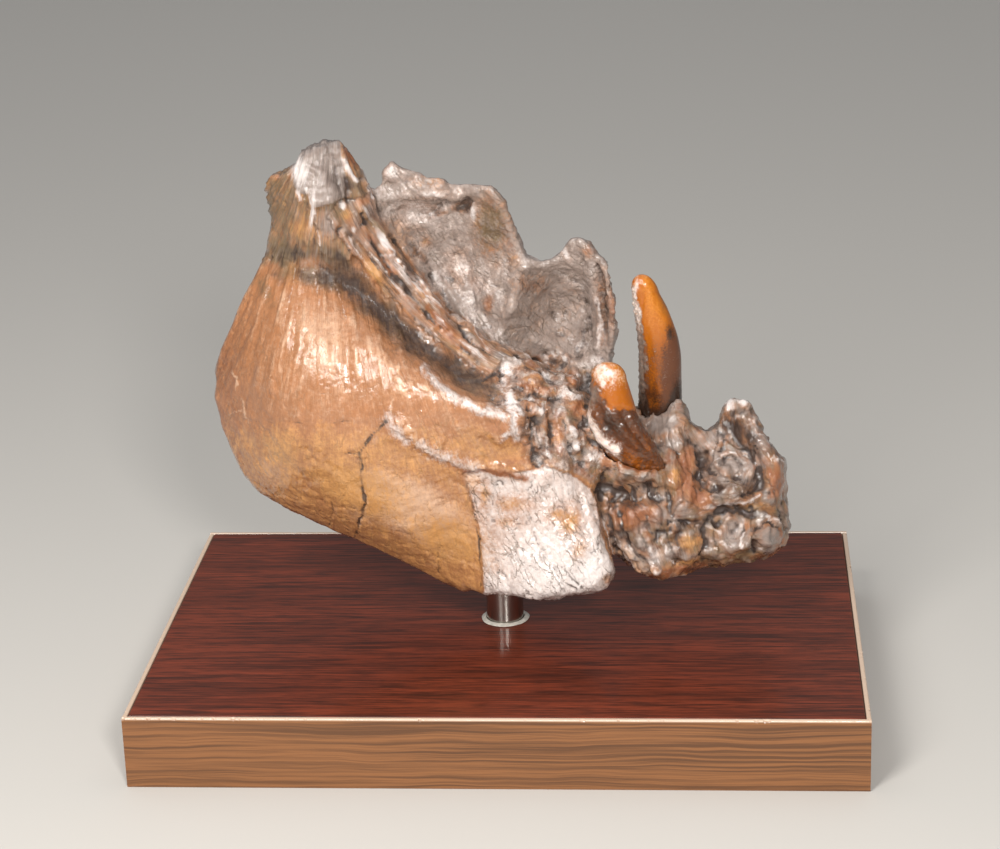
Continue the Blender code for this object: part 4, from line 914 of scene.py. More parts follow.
def bone_relief(points, places, zone, grain):
    """Height of the fine form over the smooth skin in millimetres, with its cracks and healed cracks.
    Each zone is a sum of waves and broken facets, each with its height, size, octaves and seed."""
    x, z = places.T
    whole, wall, plate = zone["whole"], zone["wall"], zone["plate"]
    bent = points + 1.6 * np.column_stack([rough(points, 5, 2, k) for k in (36, 37, 38)])
    loose = 1 - 0.75 * np.clip(sum(blob(places, *spot) for spot in CALM), 0, 1)

    # The whole bone: long fibres above, crackled varnish and low lumps below.
    height = whole * (0.12 * rough(points, 8, 3, 11) + 0.05 * rough(points, 2, 2, 12))
    upper = whole * ease(122, 136, z) * ease(-22, -42, x)
    height += upper * rough(stretched(grain, 4.2, 40), 1, 2, 13)
    height += upper * 0.08 * rough(stretched(grain, 1, 6), 1, 2, 39)
    lower = whole * ease(130, 118, z)
    near, far, _, _ = cells(bent, 7.5, 31)
    crackle = ease(0.07, 0.0, far - near) * ease(-0.1, 0.4, rough(points, 14, 2, 47)) * whole
    height -= 0.16 * crackle + 0.1 * lower * ease(0.08, 0.0, far - near)
    height += lower * (0.3 * rough(points, 7, 2, 40) + 0.12 * chipped(bent, 3.4, 30))

    # The neck: coarse fibres and chips, and the raised smooth platelet.
    neck = (zone["neck"] + 0.5 * zone["groove"]) * (1 - 0.6 * zone["platelet"])
    height += neck * (0.5 * rough(stretched(grain, 2.6, 26), 1, 3, 14) + 0.2 * rough(points, 3, 3, 32))
    height += neck * 0.4 * chipped(bent * (1, 1, 0.6), 3.4, 41)
    height += zone["platelet"] * (1.2 + 0.3 * rough(points * (1, 1, 1.6), 3.2, 3, 15))

    # The band: long splinters and fibres.
    splinter = rough(stretched(grain, 3.2, 30), 1, 2, 16)
    fibre = rough(stretched(grain, 1.4, 16), 1, 3, 17)
    height += zone["band"] * (1.1 * splinter + 0.45 * fibre + 0.35 * chipped(bent, 5.5, 42))

    # The wall: low facets with worn crests, smoother in the socket.
    open_wall = wall * (1 - 0.75 * zone["socket"]) * loose
    height += open_wall * (0.55 * rough(points, 9, 2, 19) + 0.3 * chipped(bent, 4.5, 43))
    height += wall * (0.24 * rough(points, 2.4, 3, 35) + 0.25 * crests(bent, 4.5, 2, 34) - 0.12)

    # The rubble and the block: broken facets, strands and crumbs.
    strand = chipped(stretched(grain, 3.4, 13), 1, 20)
    thread = rough(stretched(grain, 1.5, 8), 1, 3, 21)
    crumb = chipped(bent, 2.6, 44)
    crushed = 0.45 * strand + 0.35 * thread + 0.15 * crumb + 0.8 * chipped(bent, 7.0, 22)
    height += zone["rubble"] * loose * crushed
    lumpy = 0.22 * strand + 0.25 * thread + 0.06 * crumb + 0.9 * chipped(bent, 9.0, 23)
    height += zone["block"] * loose * lumpy

    # The plate: a mosaic of long tiles with fine seams.
    tile = stretched(grain, 3.6, 7) + 0.35 * rough(points, 3, 2, 24)[:, None]
    near, far, level, plane = cells(tile, 1, 25)
    seam = ease(0.11, 0.0, far - near) * plate
    height += plate * (0.25 * (level - 0.5) + 0.4 * plane) - 0.15 * seam
    height += plate * (0.3 * rough(points, 6, 2, 45) + 0.05 * rough(points, 1.8, 2, 29))

    # The shell in the block: rings round its middle.
    shell = np.hypot(*((places - SHELL[0]) / SHELL[1]).T)
    inside = ease(1.05, 0.95, shell)
    height = height * (1 - 0.8 * inside) + inside * 0.3 * np.cos(shell * 9.5)

    # Cracks, healed cracks, and the listed ridges and grooves.
    wander = np.column_stack([rough(points, 4.5, 3, 26), rough(points, 4.5, 3, 27)])
    strength = np.clip(0.75 + 0.7 * rough(points, 7, 2, 28), 0.1, 1.3)
    cracks = np.maximum(lines(places + 0.8 * wander, CRACKS) * strength, 0.52 * seam * strength)
    cracks = np.maximum(cracks, 0.36 * crackle)
    healed = lines(places + wander, HEALED) * np.clip(strength, 0, 1)
    height += 0.75 * drawn(places + 1.4 * wander, FORMS) * strength
    height += 0.6 * lines(places, [(1, 6, *CRINKLE)]) * whole * chipped(bent, 2.8, 46)
    height += -0.9 * cracks + 0.15 * healed
    return height, cracks, healed


def tones_of(points, places, zone, grain, cavity):
    """How much of each tone covers each place: a share for its zone with soft patches in the broken
    bone, the spots and streaks listed, some of them painted highlights and painted shade, and the
    hollows darker than the heights as painted shade, with the heights paler as a painted highlight."""
    x, z = places.T
    zone = zone | {
        "low": ease(127, 112, z + 5 * rough(points, 12, 2, 51)) * zone["whole"],
        "open": (1 - zone["socket"]) * zone["wall"],
        "end": ease(-92, -120, x) * zone["whole"],
        "bare": (1 - zone["groove"]) * zone["whole"],
        "plate_foot": ease(78, 58, z) * zone["plate"],
    }
    share = {tone: weighed(zone, row) for tone, row in SHARES.items()}
    inner = zone["broken"] + 0.5 * zone["neck"]
    torn = zone["band"] + zone["rubble"] + zone["block"] + 0.5 * zone["neck"]
    patched = np.where(zone["band"][:, None] > 0.5, stretched(grain, 3.2, 20), points / 5.5)
    for seed, tone in enumerate(share):
        share[tone] += (0.1 * inner + 0.25 * torn) * rough(patched, 1, 2, 60 + seed)
    # Painted shade: the hollows darker, most in the broken bone and on the plate.
    share["dark"] += ease(-0.2, -0.9, cavity) * (0.15 + 0.4 * inner + 0.2 * zone["plate"])
    # Cream on the crests of the torn bone: partly fresh chips, partly a painted highlight.
    share["cream"] += ease(0.35, 1.0, cavity) * 0.25 * torn
    # The heights of the whole bone paler: a painted highlight.
    share["light"] += ease(0.1, 0.6, cavity) * 0.35 * zone["whole"]

    ragged = np.column_stack([rough(points, 3.5, 3, 67), rough(points, 3.5, 3, 68)])
    ragged = places + ragged * (0.3 + 0.7 * (zone["rubble"] + zone["block"]))[:, None]
    patchy = np.clip(0.85 + (0.25 + 0.5 * torn) * rough(points, 3, 2, 69), 0.2, 1.15)
    laid = {}
    for tone in share:
        laid[tone] = patchy * lines(ragged, STREAKS.get(tone, []))
        for strength, *spot in SPOTS[tone]:
            laid[tone] = np.maximum(laid[tone], strength * blob(ragged, *spot))
    claimed = np.maximum.reduce(list(laid.values()))
    for tone in share:
        share[tone] = np.maximum(share[tone] - 0.5 * (claimed - laid[tone]), laid[tone])
    return {tone: np.clip(values, 0, 1.2) for tone, values in share.items()}


def finishes_of(points, places, zone):
    """How fibrous, coarse, matt, even and crazed each place is."""
    zone = zone | {
        "all": 1.0,
        "ridges": lines(places, STREAKS["cream"][:PAINTED_HIGHLIGHT_STREAKS]),
        "lip": lines(places, [(1, 9, *LIP)]),
        "smooth": zone["whole"] * (1 - zone["neck"]),
    }
    marks = {name: np.clip(weighed(zone, row), 0, 1) for name, row in FINISHES.items()}
    marks["crazed"] = marks["crazed"] * np.clip(0.7 + 1.2 * rough(points, 9, 2, 89), 0, 1)
    return marks


def cavity_of(mesh, points, edges):
    """How far each point stands out from its neighbours' smoothed surface, in millimetres."""
    level = points
    for _ in range(CAVITY_ROUNDS):
        level = neighbour_mean(level, edges)
    return ((points - level) * mesh_normals(mesh)).sum(1)


def make_bone(settings):
    """The bone's skin: smoothed, most of all where the bone is whole, then given its relief along the
    normals, and marked with its tones and finishes."""
    obj = skin_base(settings.skin_step * (1))
    mesh = obj.data
    edges = mesh_edges(mesh)
    points = mesh_points(mesh)
    zone = zones_of(face_places(points), points)
    points = smoothed(points, edges, ALL_ROUNDS)
    points = smoothed(points, edges, UNBROKEN_ROUNDS, (1 - 0.75 * zone["broken"])[:, None])
    points = smoothed(points, edges, WHOLE_ROUNDS, zone["whole"][:, None])
    shoulder = lines(face_places(points), [(1, 10, *LIP)]) * zone["whole"]
    points = smoothed(points, edges, SHOULDER_ROUNDS, shoulder[:, None])
    set_points(mesh, points)
    places = face_places(points)
    zone = zones_of(places, points)
    grain = grain_of(places, zone)
    height, cracks, healed = bone_relief(points, places, zone, grain)
    points = points + mesh_normals(mesh) * (height * settings.relief)[:, None]
    set_points(mesh, points)
    cavity = cavity_of(mesh, points, edges)
    marks = tones_of(points, places, zone, grain, cavity) | finishes_of(points, places, zone)
    marks |= {"crack": cracks, "healed": healed, "grain": grain}
    for name, values in marks.items():
        set_attribute(mesh, name, values)
    mesh.polygons.foreach_set("use_smooth", np.ones(len(mesh.polygons), bool))
    return obj


def varnished_bone(settings):
    """Fossil bone under a clear varnish: tones laid over one another in ragged patches that fine
    fibres break up, crazed in thin lines, with a coat that glints on the roughness."""
    material, tree = new_material("varnished fossil bone")
    grain = add(tree, ATTRIBUTE, out="Vector", attribute_name="grain")
    spot = add(tree, COORDINATES, out="Object")
    long_way = add(tree, MAPPING, {"Vector": grain, "Scale": every(1.667, 14.29, 1, unit=1)})
    # Bone fibres are about 0.1 mm wide. They are drawn 0.5 mm wide, so that they show.
    thin_way = add(tree, MAPPING, {"Vector": grain, "Scale": every(0.5, 6.25, 1, unit=1)})
    figures = []
    for way, scale, detail, rest in (
        (spot, every(6.667), 5.0, 0.65),
        (spot, every(1.613), 3.0, 0.65),
        (long_way, 1.0, 5.0, 0.6),
        (thin_way, 1.0, 3.0, 0.6),
    ):
        values = {"Vector": way, "Scale": scale, "Detail": detail, "Roughness": rest}
        figures.append(add(tree, NOISE, values, out="Color"))
    patches, specks, streaks, threads = figures
    fibrous = add(tree, ATTRIBUTE, attribute_name="fibrous")
    figure = add(tree, MIX, {0: fibrous, 6: patches, 7: streaks}, data_type="RGBA")
    fine = add(tree, MIX, {0: fibrous, 6: specks, 7: threads}, data_type="RGBA")
    both = add(tree, VECTOR_MATH, {0: figure, 1: fine}, operation="ADD")
    even = add(tree, ATTRIBUTE, attribute_name="even")
    flat = add(tree, RANGE, {"Value": even, "To Max": 0.55})
    grey = (1.0, 1.0, 1.0, 1.0)
    calmer = add(tree, MIX, {0: flat, 6: both, 7: grey}, data_type="RGBA", clamp_result=False)
    split = add(tree, "ShaderNodeSeparateXYZ", {0: calmer}).node.outputs

    colour = settings.whole
    for index, tone in enumerate(SHARES):
        mark = add(tree, ATTRIBUTE, attribute_name=tone)
        slope = 0.9 if index % 2 else -0.9
        ragged = add(tree, MATH, {0: split[index % 3], 1: slope, 2: -slope}, operation="MULTIPLY_ADD")
        edge = add(tree, MATH, {0: mark, 1: ragged}, operation="ADD")
        span = {"Value": edge, "From Min": 0.18, "From Max": 0.82}
        cover = add(tree, RANGE, span, interpolation_type="SMOOTHSTEP")
        colour = add(tree, MIX, {0: cover, 6: colour, 7: getattr(settings, tone)}, data_type="RGBA")
    span = {"Value": split[1], "From Min": 0.65, "From Max": 1.35, "To Min": 0.7, "To Max": 1.3}
    shade = add(tree, RANGE, span)
    colour = add(tree, MIX, {0: 1.0, 6: colour, 7: shade}, data_type="RGBA", blend_type="MULTIPLY")
    for name, tone, amount in (("healed", "light", 0.75), ("crack", "dark", 0.9)):
        mark = add(tree, ATTRIBUTE, attribute_name=name)
        cover = add(tree, RANGE, {"Value": mark, "From Min": 0.25, "From Max": 0.7, "To Max": amount})
        colour = add(tree, MIX, {0: cover, 6: colour, 7: getattr(settings, tone)}, data_type="RGBA")

    # Thin dark lines round cells of about 3 by 10 mm, broken off where the figure is pale.
    craze_way = add(tree, MAPPING, {"Vector": grain, "Scale": every(2.778, 10, 1, unit=1)})
    bend = {0: patches, 1: (1.8, 0.9, 0.0), 2: craze_way}
    bent = add(tree, VECTOR_MATH, bend, operation="MULTIPLY_ADD")
    craze = add(tree, VORONOI, {"Vector": bent, "Scale": 1.0}, feature="DISTANCE_TO_EDGE")
    line = add(tree, RANGE, {"Value": craze, "From Max": 0.08, "To Min": 1.0, "To Max": 0.0})
    crazed = add(tree, ATTRIBUTE, attribute_name="crazed")
    gaps = add(tree, RANGE, {"Value": split[1], "From Min": 0.93, "From Max": 1.08, "To Max": crazed})
    crossed = add(tree, MATH, {0: line, 1: gaps}, operation="MULTIPLY")
    colour = add(tree, MIX, {0: crossed, 6: colour, 7: settings.olive}, data_type="RGBA")
    form = add(tree, MATH, {0: crossed, 1: -1.2, 2: split[0]}, operation="MULTIPLY_ADD")

    coarse = add(tree, ATTRIBUTE, attribute_name="coarse")
    thin = add(tree, RANGE, {"Value": coarse, "To Min": 0.18, "To Max": 0.8})
    thick = add(tree, RANGE, {"Value": coarse, "To Min": 0.45, "To Max": 1.0})
    bump = add(tree, BUMP, {"Height": form, "Strength": thick, "Distance": 0.8 * MM})
    skin = add(tree, BUMP, {"Height": form, "Strength": thin, "Distance": 0.5 * MM})
    matt = add(tree, ATTRIBUTE, attribute_name="matt")
    coat = add(tree, RANGE, {"Value": matt, "To Min": 1.0, "To Max": 0.15})
    span = {"Value": split[2], "From Min": 0.7, "From Max": 1.3, "To Min": 0.38, "To Max": 0.62}
    values = {
        "Base Color": colour, "Roughness": add(tree, RANGE, span), "IOR": 1.5, "Specular IOR Level": 0.3,
        "Normal": bump, "Coat Weight": coat, "Coat Roughness": 0.1, "Coat IOR": 1.5, "Coat Normal": skin,
    }
    add(tree, OUTPUT, {"Surface": add(tree, SHADER, values)})
    return material


class FOSSIL_OT_bone(bpy.types.Operator):
    """Grow the bone's detailed skin over its solid"""

    bl_idname = "fossil.bone"
    bl_label = "Bone"

    def execute(self, context):
        settings = context.scene.fossil_bone
        place(make_bone(settings), varnished_bone(settings), ["jaw_bone"])
        return {"FINISHED"}


# --- the teeth -----------------------------------------------------------------------------------

# Rings up a tooth: centre x, depth, z, half width, half thickness, and the way to the tip.
TALL_RINGS = [
    (65.5, 5.0, 104, 4.5, 4.0), (65.6, 4.5, 112, 7.0, 5.6), (65.9, 3.2, 121, 9.0, 6.4),
    (66.2, 2.0, 131, 9.2, 6.8), (66.4, 1.0, 140, 9.0, 7.0), (66.3, 0.0, 150, 8.9, 6.6),
    (65.2, -1.0, 160, 8.3, 6.2), (62.9, -1.6, 170, 7.2, 5.6), (60.8, -2.0, 177.5, 5.7, 4.8),
]
TALL_TIP = (-1.5, -0.2, 8.0)
SHORT_RINGS = [
    (64.0, -19, 92, 6.0, 5.5), (59.5, -23, 99, 9.5, 8.0), (54.5, -26, 106, 11.5, 9.0),
    (50.5, -27.5, 114, 11.6, 9.0), (47.5, -28, 121, 10.8, 8.6), (46.2, -28, 128, 9.6, 8.0),
    (45.4, -28, 135, 8.4, 7.4), (44.9, -28, 140.5, 7.4, 6.8),
]
SHORT_TIP = (-0.4, 0.0, 7.2)
# Ridges and grooves of the root: height, half width, line.
ROOT_FORMS = [
    (1, 1.8, 33, 130, 36, 121, 41, 113, 47, 108), (-1, 1.2, 39, 128, 42, 120, 47, 113, 53, 108),
    (0.7, 1.4, 46, 124, 50, 117, 57, 109), (-0.7, 1, 50, 124, 54, 117, 60, 109),
    (0.6, 1.4, 54, 123, 58, 115, 63, 108),
    (-0.6, 0.8, 38, 139.5, 41.5, 134.5, 43.5, 128.5, 46, 126, 52, 126.5, 55, 125.5),
]
CROWN_EDGE = (30, 141, 37, 140, 41, 135, 43.5, 128.5, 46, 126, 52, 126.5, 56, 125.5, 64, 127)
TALL_SEAM = (60.5, 178, 58.2, 165, 58.6, 150, 59.6, 135, 60.5, 125)
# Points round and along a tooth.
TOOTH_GRID = (128, 150)


class ToothSettings(bpy.types.PropertyGroup):
    """Colours of the two teeth."""

    amber: colour_property("Amber", "#A65A0C", "Varnished dentine")
    honey: colour_property("Honey", "#D0852F", "Paler dentine at the tips")
    brown: colour_property("Brown", "#5C3115", "Stained root")
    grey: colour_property("Grey", "#9C897B", "Worn bone along an edge")
    # Black also lays the painted shade down the tall tooth's right side.
    black: colour_property("Black", "#2E1D14", "Pits and the translucent dark side")
    # Pale is the painted highlight on the short tooth's crown and ridge and the painted glints on the tall
    # tooth.
    pale: colour_property("Pale", "#E6D5CA", "Whitened varnish on the crown and the ridge")


def peg_grid(rings, tip, around, upward):
    """Ellipses whose centres and half sizes follow a smooth curve through the rings, then shrink by
    the cosine of a quarter turn while their centre goes to the tip by its sine. All of it is drawn
    on the plane y = 0 and then moved along the line to FAR_POINT, to its own depth."""
    shaft = through(rings, upward)
    turn = np.linspace(0, np.pi / 2, upward // 4)[1:-1]
    dome = np.repeat(shaft[-1:], len(turn), 0)
    dome[:, :3] += np.sin(turn)[:, None] * tip
    dome[:, 3:] *= np.cos(turn)[:, None]
    x, y, z, wide, thick = np.vstack([shaft, dome]).T[..., None]
    angle = np.arange(around) * 2 * np.pi / around
    across, depth = x + wide * np.cos(angle), y + thick * np.sin(angle)
    flat = np.stack([across, 0 * depth, z + 0 * angle], -1)
    return flat + (FAR_POINT - flat) * (depth[..., None] / FAR_POINT[1])


def make_tooth(name, rings, tip, marks_of):
    """A tooth's body with its relief; marks_of gives its height and its marks."""
    obj = skin_object(name, peg_grid(rings, tip, *TOOTH_GRID))
    mesh = obj.data
    points = mesh_points(mesh)
    height, marks = marks_of(points, face_places(points))
    set_points(mesh, points + mesh_normals(mesh) * height[:, None])
    for key, values in marks.items():
        set_attribute(mesh, key, np.clip(values, 0, 1))
    return obj


def tall_marks(points, places):
    """Smooth amber with a rough grey band up its left edge, dark stains at its foot, painted glints up
    the band and a painted shade down its right side.
    """
    x, z = places.T
    rings = np.array(TALL_RINGS).T
    centre, half = (np.interp(z, rings[2], row) for row in (rings[0], rings[3]))
    across = (x - centre) / half + 0.12 * rough(points, 5, 3, 71)
    band = ease(-0.5, -0.8, across) * ease(183, 178, z)
    foot = ease(137, 126, z + 3 * rough(points, 6, 2, 72))
    # Painted shade: the right side darker lower down, laid in the black and brown tones.
    shade = ease(0.2, 0.8, across) * ease(146, 132, z)
    height = 0.12 * rough(points, 9, 3, 73) + 0.05 * rough(points, 2.5, 2, 74)
    height += band * (0.5 * rough(points, 1.7, 3, 75) - 0.2)
    height -= 0.4 * lines(places, [(1, 0.7, *TALL_SEAM)])
    stain_and_shade = 0.9 * foot * (1 - blob(places, 64, 129, 5, 4)) + 0.4 * ease(0.35, 0.8, across)
    pits = 0.7 * blob(places, 70.5, 160, 2, 4) + 0.4 * blob(places, 68, 152, 2, 3)
    return height, {
        "honey": 0.25 * ease(150, 175, z) + 0.2 * ease(-0.5, 0.0, across) * ease(140, 150, z),
        "brown": stain_and_shade + (0.5 + 0.5 * ease(-0.2, 0.5, across)) * ease(168, 146, z) + 0.5 * band,
        "grey": 0.62 * band + 0.5 * ease(124, 117, z),
        "black": 0.9 * shade + 0.65 * foot + 0.4 * band + pits,
        # Pale specks up the band and a spot near the tip: painted glints.
        "pale": 0.5 * band * ease(150, 172, z) + 0.6 * blob(places, 57.5, 181, 1.2, 4),
    }


def short_marks(points, places):
    """A glossy crown over a broad brown root with a ridge down its left side; the pale patch on the
    crown and the bright ridge are painted highlights.
    """
    x, z = places.T
    gap, side, _ = follow(places, CROWN_EDGE)
    root = ease(-2.0, 1.6, -gap * side + 1.2 * rough(points, 3, 3, 81))
    height = 0.14 * rough(points, 7, 3, 82) + 0.06 * rough(points, 2.0, 2, 83)
    height += root * (0.45 * rough(points, 4.5, 3, 84) + 0.2 * rough(points, 1.6, 2, 85) - 0.15)
    height += drawn(places, ROOT_FORMS)
    ragged = places + 0.8 * np.column_stack([rough(points, 2.5, 3, 87), rough(points, 2.5, 3, 88)])
    # A painted highlight along the root's ridge.
    painted_ridge_highlight = lines(ragged, [(1, 2.5, *ROOT_FORMS[0][2:])])
    # A pale patch on the crown: a painted highlight.
    patchy = (0.72 + 0.5 * rough(points, 2.5, 3, 86)) * (1 - root) * blob(places, 43, 141.5, 6, 7, -20)
    pits = 0.4 * blob(places, 44, 119, 5, 5) + 0.3 * blob(places, 35, 134, 4, 6)
    return height, {
        "honey": 0.5 * (1 - root) * ease(134, 142, z),
        "brown": root * (0.95 - 0.4 * blob(places, 52, 104, 9, 3, -20) - 0.15 * ease(50, 60, x)),
        "grey": root * (0.15 + 0.6 * blob(places, 37, 134, 4, 8)),
        "black": root * np.clip(0.35 + pits - painted_ridge_highlight, 0, 1),
        "pale": 1.1 * root * painted_ridge_highlight + patchy,
    }


def varnished_dentine(settings):
    """Dentine stained to amber: even and slightly translucent, under a thick smooth varnish."""
    material, tree = new_material("varnished amber dentine")
    spot = add(tree, COORDINATES, out="Object")
    long_way = add(tree, MAPPING, {"Vector": spot, "Scale": every(3.846, 3.846, 12.82)})
    patches = add(tree, NOISE, {"Vector": long_way, "Scale": 1.0, "Detail": 4.0, "Roughness": 0.6})
    specks = add(tree, NOISE, {"Vector": spot, "Scale": every(0.909), "Detail": 3.0, "Roughness": 0.6})
    figure = add(tree, MATH, {0: patches, 1: specks}, operation="ADD")
    ragged = add(tree, MATH, {0: figure, 1: 0.8, 2: -0.8}, operation="MULTIPLY_ADD")
    colour = settings.amber
    for tone in ("honey", "brown", "grey", "black", "pale"):
        mark = add(tree, ATTRIBUTE, attribute_name=tone)
        edge = add(tree, MATH, {0: mark, 1: ragged}, operation="ADD")
        span = {"Value": edge, "From Min": 0.1, "From Max": 0.9}
        cover = add(tree, RANGE, span, interpolation_type="SMOOTHSTEP")
        colour = add(tree, MIX, {0: cover, 6: colour, 7: getattr(settings, tone)}, data_type="RGBA")
    bump = add(tree, BUMP, {"Height": figure, "Strength": 0.3, "Distance": 0.4 * MM})
    values = {
        "Base Color": colour, "Roughness": 0.35, "IOR": 1.54, "Specular IOR Level": 0.2, "Normal": bump,
        "Subsurface Weight": 0.15, "Subsurface Radius": (4 * MM, 2 * MM, 1 * MM),
        "Coat Weight": 0.8, "Coat Roughness": 0.09, "Coat Normal": bump,
    }
    add(tree, OUTPUT, {"Surface": add(tree, SHADER, values)})
    return material


class FOSSIL_OT_teeth(bpy.types.Operator):
    """Set the two teeth in their sockets"""

    bl_idname = "fossil.teeth"
    bl_label = "Teeth"

    def execute(self, context):
        dentine = varnished_dentine(context.scene.fossil_teeth)
        teeth = {
            "tall_tooth": (TALL_RINGS, TALL_TIP, tall_marks),
            "short_tooth": (SHORT_RINGS, SHORT_TIP, short_marks),
        }
        for node, shape in teeth.items():
            place(make_tooth(f"{node}_skin", *shape), dentine, [node])
        return {"FINISHED"}


# --- the post and its glue -----------------------------------------------------------------------

POST_X = -2.0
POST_ENDS = (9.0, 76.0)
POST_ROUNDING = 0.5
POST_SIDES = 96
# The bead's section, from the post outwards: radius, height.
BEAD_SECTION = [(8.3, 31.35), (8.3, 32.1), (9.0, 32.05), (9.9, 31.7), (10.4, 31.35)]
BEAD_ROWS = 14
BEAD_SIDES = 120
# Waves round the bead's outer edge: how many, height and phase.
BEAD_WAVES = [(3, 0.12, 0.6), (7, 0.08, 0.0)]
# The waves grow from nothing at this radius, over this width.
BEAD_SWELL = (8.6, 1.4)


class PostSettings(bpy.types.PropertyGroup):
    """Sizes and colours of the post."""

    radius: bpy.props.FloatProperty(
        name="Radius",
        description="Radius of the post",
        default=0.008,
        min=0.002,
        max=0.02,
        unit="LENGTH",
    )
    steel: colour_property("Steel", "#B9B5AE", "Polished stainless steel")
    glue: colour_property("Glue", "#C9C3B8", "Clear glue that has gone cloudy")


def turned_grid(profile, sides):
    """A profile of radius and height carried round the post's axis by the sine and cosine."""
    angle = np.arange(sides) * 2 * np.pi / sides
    radius, height = np.array(profile).T[..., None]
    return np.stack([POST_X + radius * np.cos(angle), radius * np.sin(angle), height + 0 * angle], -1)


def make_post(radius):
    """A bar: a straight side between two quarter circles is carried round its axis."""
    turn = np.linspace(0, np.pi / 2, 6)
    low, high = POST_ENDS
    inner = radius - POST_ROUNDING
    rim, lift = POST_ROUNDING * np.sin(turn), POST_ROUNDING * (1 - np.cos(turn))
    foot = np.column_stack([inner + rim, low + lift])
    top = np.column_stack([inner + rim, high - lift])[::-1]
    return skin_object("post_bar", turned_grid(np.vstack([foot, top]), POST_SIDES))


def make_bead():
    """A ring of glue: its section is carried round the post, and its outer edge swells and shrinks by
    the sum of two sine waves."""
    section = through(BEAD_SECTION, BEAD_ROWS)
    grid = turned_grid(section, BEAD_SIDES)
    around = np.arange(BEAD_SIDES) * 2 * np.pi / BEAD_SIDES
    swell = sum(height * np.sin(count * around + phase) for count, height, phase in BEAD_WAVES)
    start, width = BEAD_SWELL
    outer = np.clip((section[:, :1] - start) / width, 0, 1)
    grid[..., 0] += outer * swell * np.cos(around)
    grid[..., 1] += outer * swell * np.sin(around)
    faces = grid_faces(BEAD_ROWS, BEAD_SIDES, ring=True)
    return mesh_object("glue_ring", grid.reshape(-1, 3), faces[:, ::-1])


def polished_steel(settings):
    """Stainless bar, polished by turning: mirror-like with faint rings round it."""
    material, tree = new_material("polished stainless bar")
    spot = add(tree, COORDINATES, out="Object")
    # Polishing lines are finer than 0.05 mm. They are drawn 0.25 mm apart, so that they show.
    rings = add(tree, MAPPING, {"Vector": spot, "Scale": every(25, 25, 0.25)})
    marks = add(tree, NOISE, {"Vector": rings, "Scale": 1.0, "Detail": 2.0})
    bump = add(tree, BUMP, {"Height": marks, "Strength": 0.08, "Distance": 0.2 * MM})
    dull = add(tree, RANGE, {"Value": marks, "To Min": 0.14, "To Max": 0.26})
    values = {"Base Color": settings.steel, "Metallic": 1.0, "Roughness": dull, "Normal": bump}
    add(tree, OUTPUT, {"Surface": add(tree, SHADER, values)})
    return material


def cloudy_glue(settings):
    """Set glue: milky, smooth and uneven."""
    material, tree = new_material("cloudy clear glue")
    spot = add(tree, COORDINATES, out="Object")
    cloud = add(tree, NOISE, {"Vector": spot, "Scale": every(1.667), "Detail": 2.0})
    span = {"Value": cloud, "From Min": 0.3, "From Max": 0.7, "To Min": 0.7, "To Max": 1.05}
    shaded = {0: 1.0, 6: settings.glue, 7: add(tree, RANGE, span)}
    colour = add(tree, MIX, shaded, data_type="RGBA", blend_type="MULTIPLY")
    bump = add(tree, BUMP, {"Height": cloud, "Strength": 0.2, "Distance": 0.3 * MM})
    values = {"Base Color": colour, "Roughness": 0.22, "Normal": bump}
    add(tree, OUTPUT, {"Surface": add(tree, SHADER, values)})
    return material


class FOSSIL_OT_post(bpy.types.Operator):
    """Turn the steel post and lay the glue at its foot"""

    bl_idname = "fossil.post"
    bl_label = "Post"

    def execute(self, context):
        settings = context.scene.fossil_post
        place(make_post(settings.radius / MM), polished_steel(settings), ["post"])
        place(make_bead(), cloudy_glue(settings), ["glue_bead"])
        return {"FINISHED"}


# --- the board -----------------------------------------------------------------------------------


class BoardSettings(bpy.types.PropertyGroup):
    """Colours of the board."""

    walnut: colour_property("Laminate", "#6D2F1C", "Red-brown of the printed wood")
    walnut_dark: colour_property("Laminate grain", "#30160E", "Dark grain of the printed wood")
    strip: colour_property("Strip", "#84552F", "Light brown of the edge strips")
    strip_dark: colour_property("Strip grain", "#55341A", "Dark lines of the edge strips")
    edge: colour_property("Raw edge", "#C9B09A", "Pale cut edges of the strips")


def wood_laminate(settings):
    """Printed wood under a satin film: long dark grain on red-brown, even gloss."""
    material, tree = new_material("dark wood laminate")
    spot = add(tree, COORDINATES, out="Object")
    broad_way = add(tree, MAPPING, {"Vector": spot, "Scale": every(111.1, 9.091, 9.091)})
    broad = add(tree, NOISE, {"Vector": broad_way, "Scale": 1.0, "Detail": 3.0, "Roughness": 0.6})
    grain_way = add(tree, MAPPING, {"Vector": spot, "Scale": every(26.32, 1.2195, 1.2195)})
    grain = add(tree, NOISE, {"Vector": grain_way, "Scale": 1.0, "Detail": 4.0, "Roughness": 0.65})
    pores_way = add(tree, MAPPING, {"Vector": spot, "Scale": every(10.526, 0.4762, 0.4762)})
    pores = add(tree, NOISE, {"Vector": pores_way, "Scale": 1.0, "Detail": 2.0})
    span = {"Value": broad, "From Min": 0.35, "From Max": 0.7, "To Min": 0.75, "To Max": 1.3}
    warmed = {0: 1.0, 6: settings.walnut, 7: add(tree, RANGE, span)}
    colour = add(tree, MIX, warmed, data_type="RGBA", blend_type="MULTIPLY")
    for marks, low, high, most in ((grain, 0.42, 0.62, 0.85), (pores, 0.55, 0.7, 0.7)):
        cover = add(tree, RANGE, {"Value": marks, "From Min": low, "From Max": high, "To Max": most})
        colour = add(tree, MIX, {0: cover, 6: colour, 7: settings.walnut_dark}, data_type="RGBA")
    bump = add(tree, BUMP, {"Height": grain, "Strength": 0.05, "Distance": 0.3 * MM})
    values = {
        "Base Color": colour, "Roughness": 0.5, "Specular IOR Level": 0.2, "Coat Weight": 0.25,
        "Coat Roughness": 0.12, "Normal": bump,
    }
    add(tree, OUTPUT, {"Surface": add(tree, SHADER, values)})
    return material


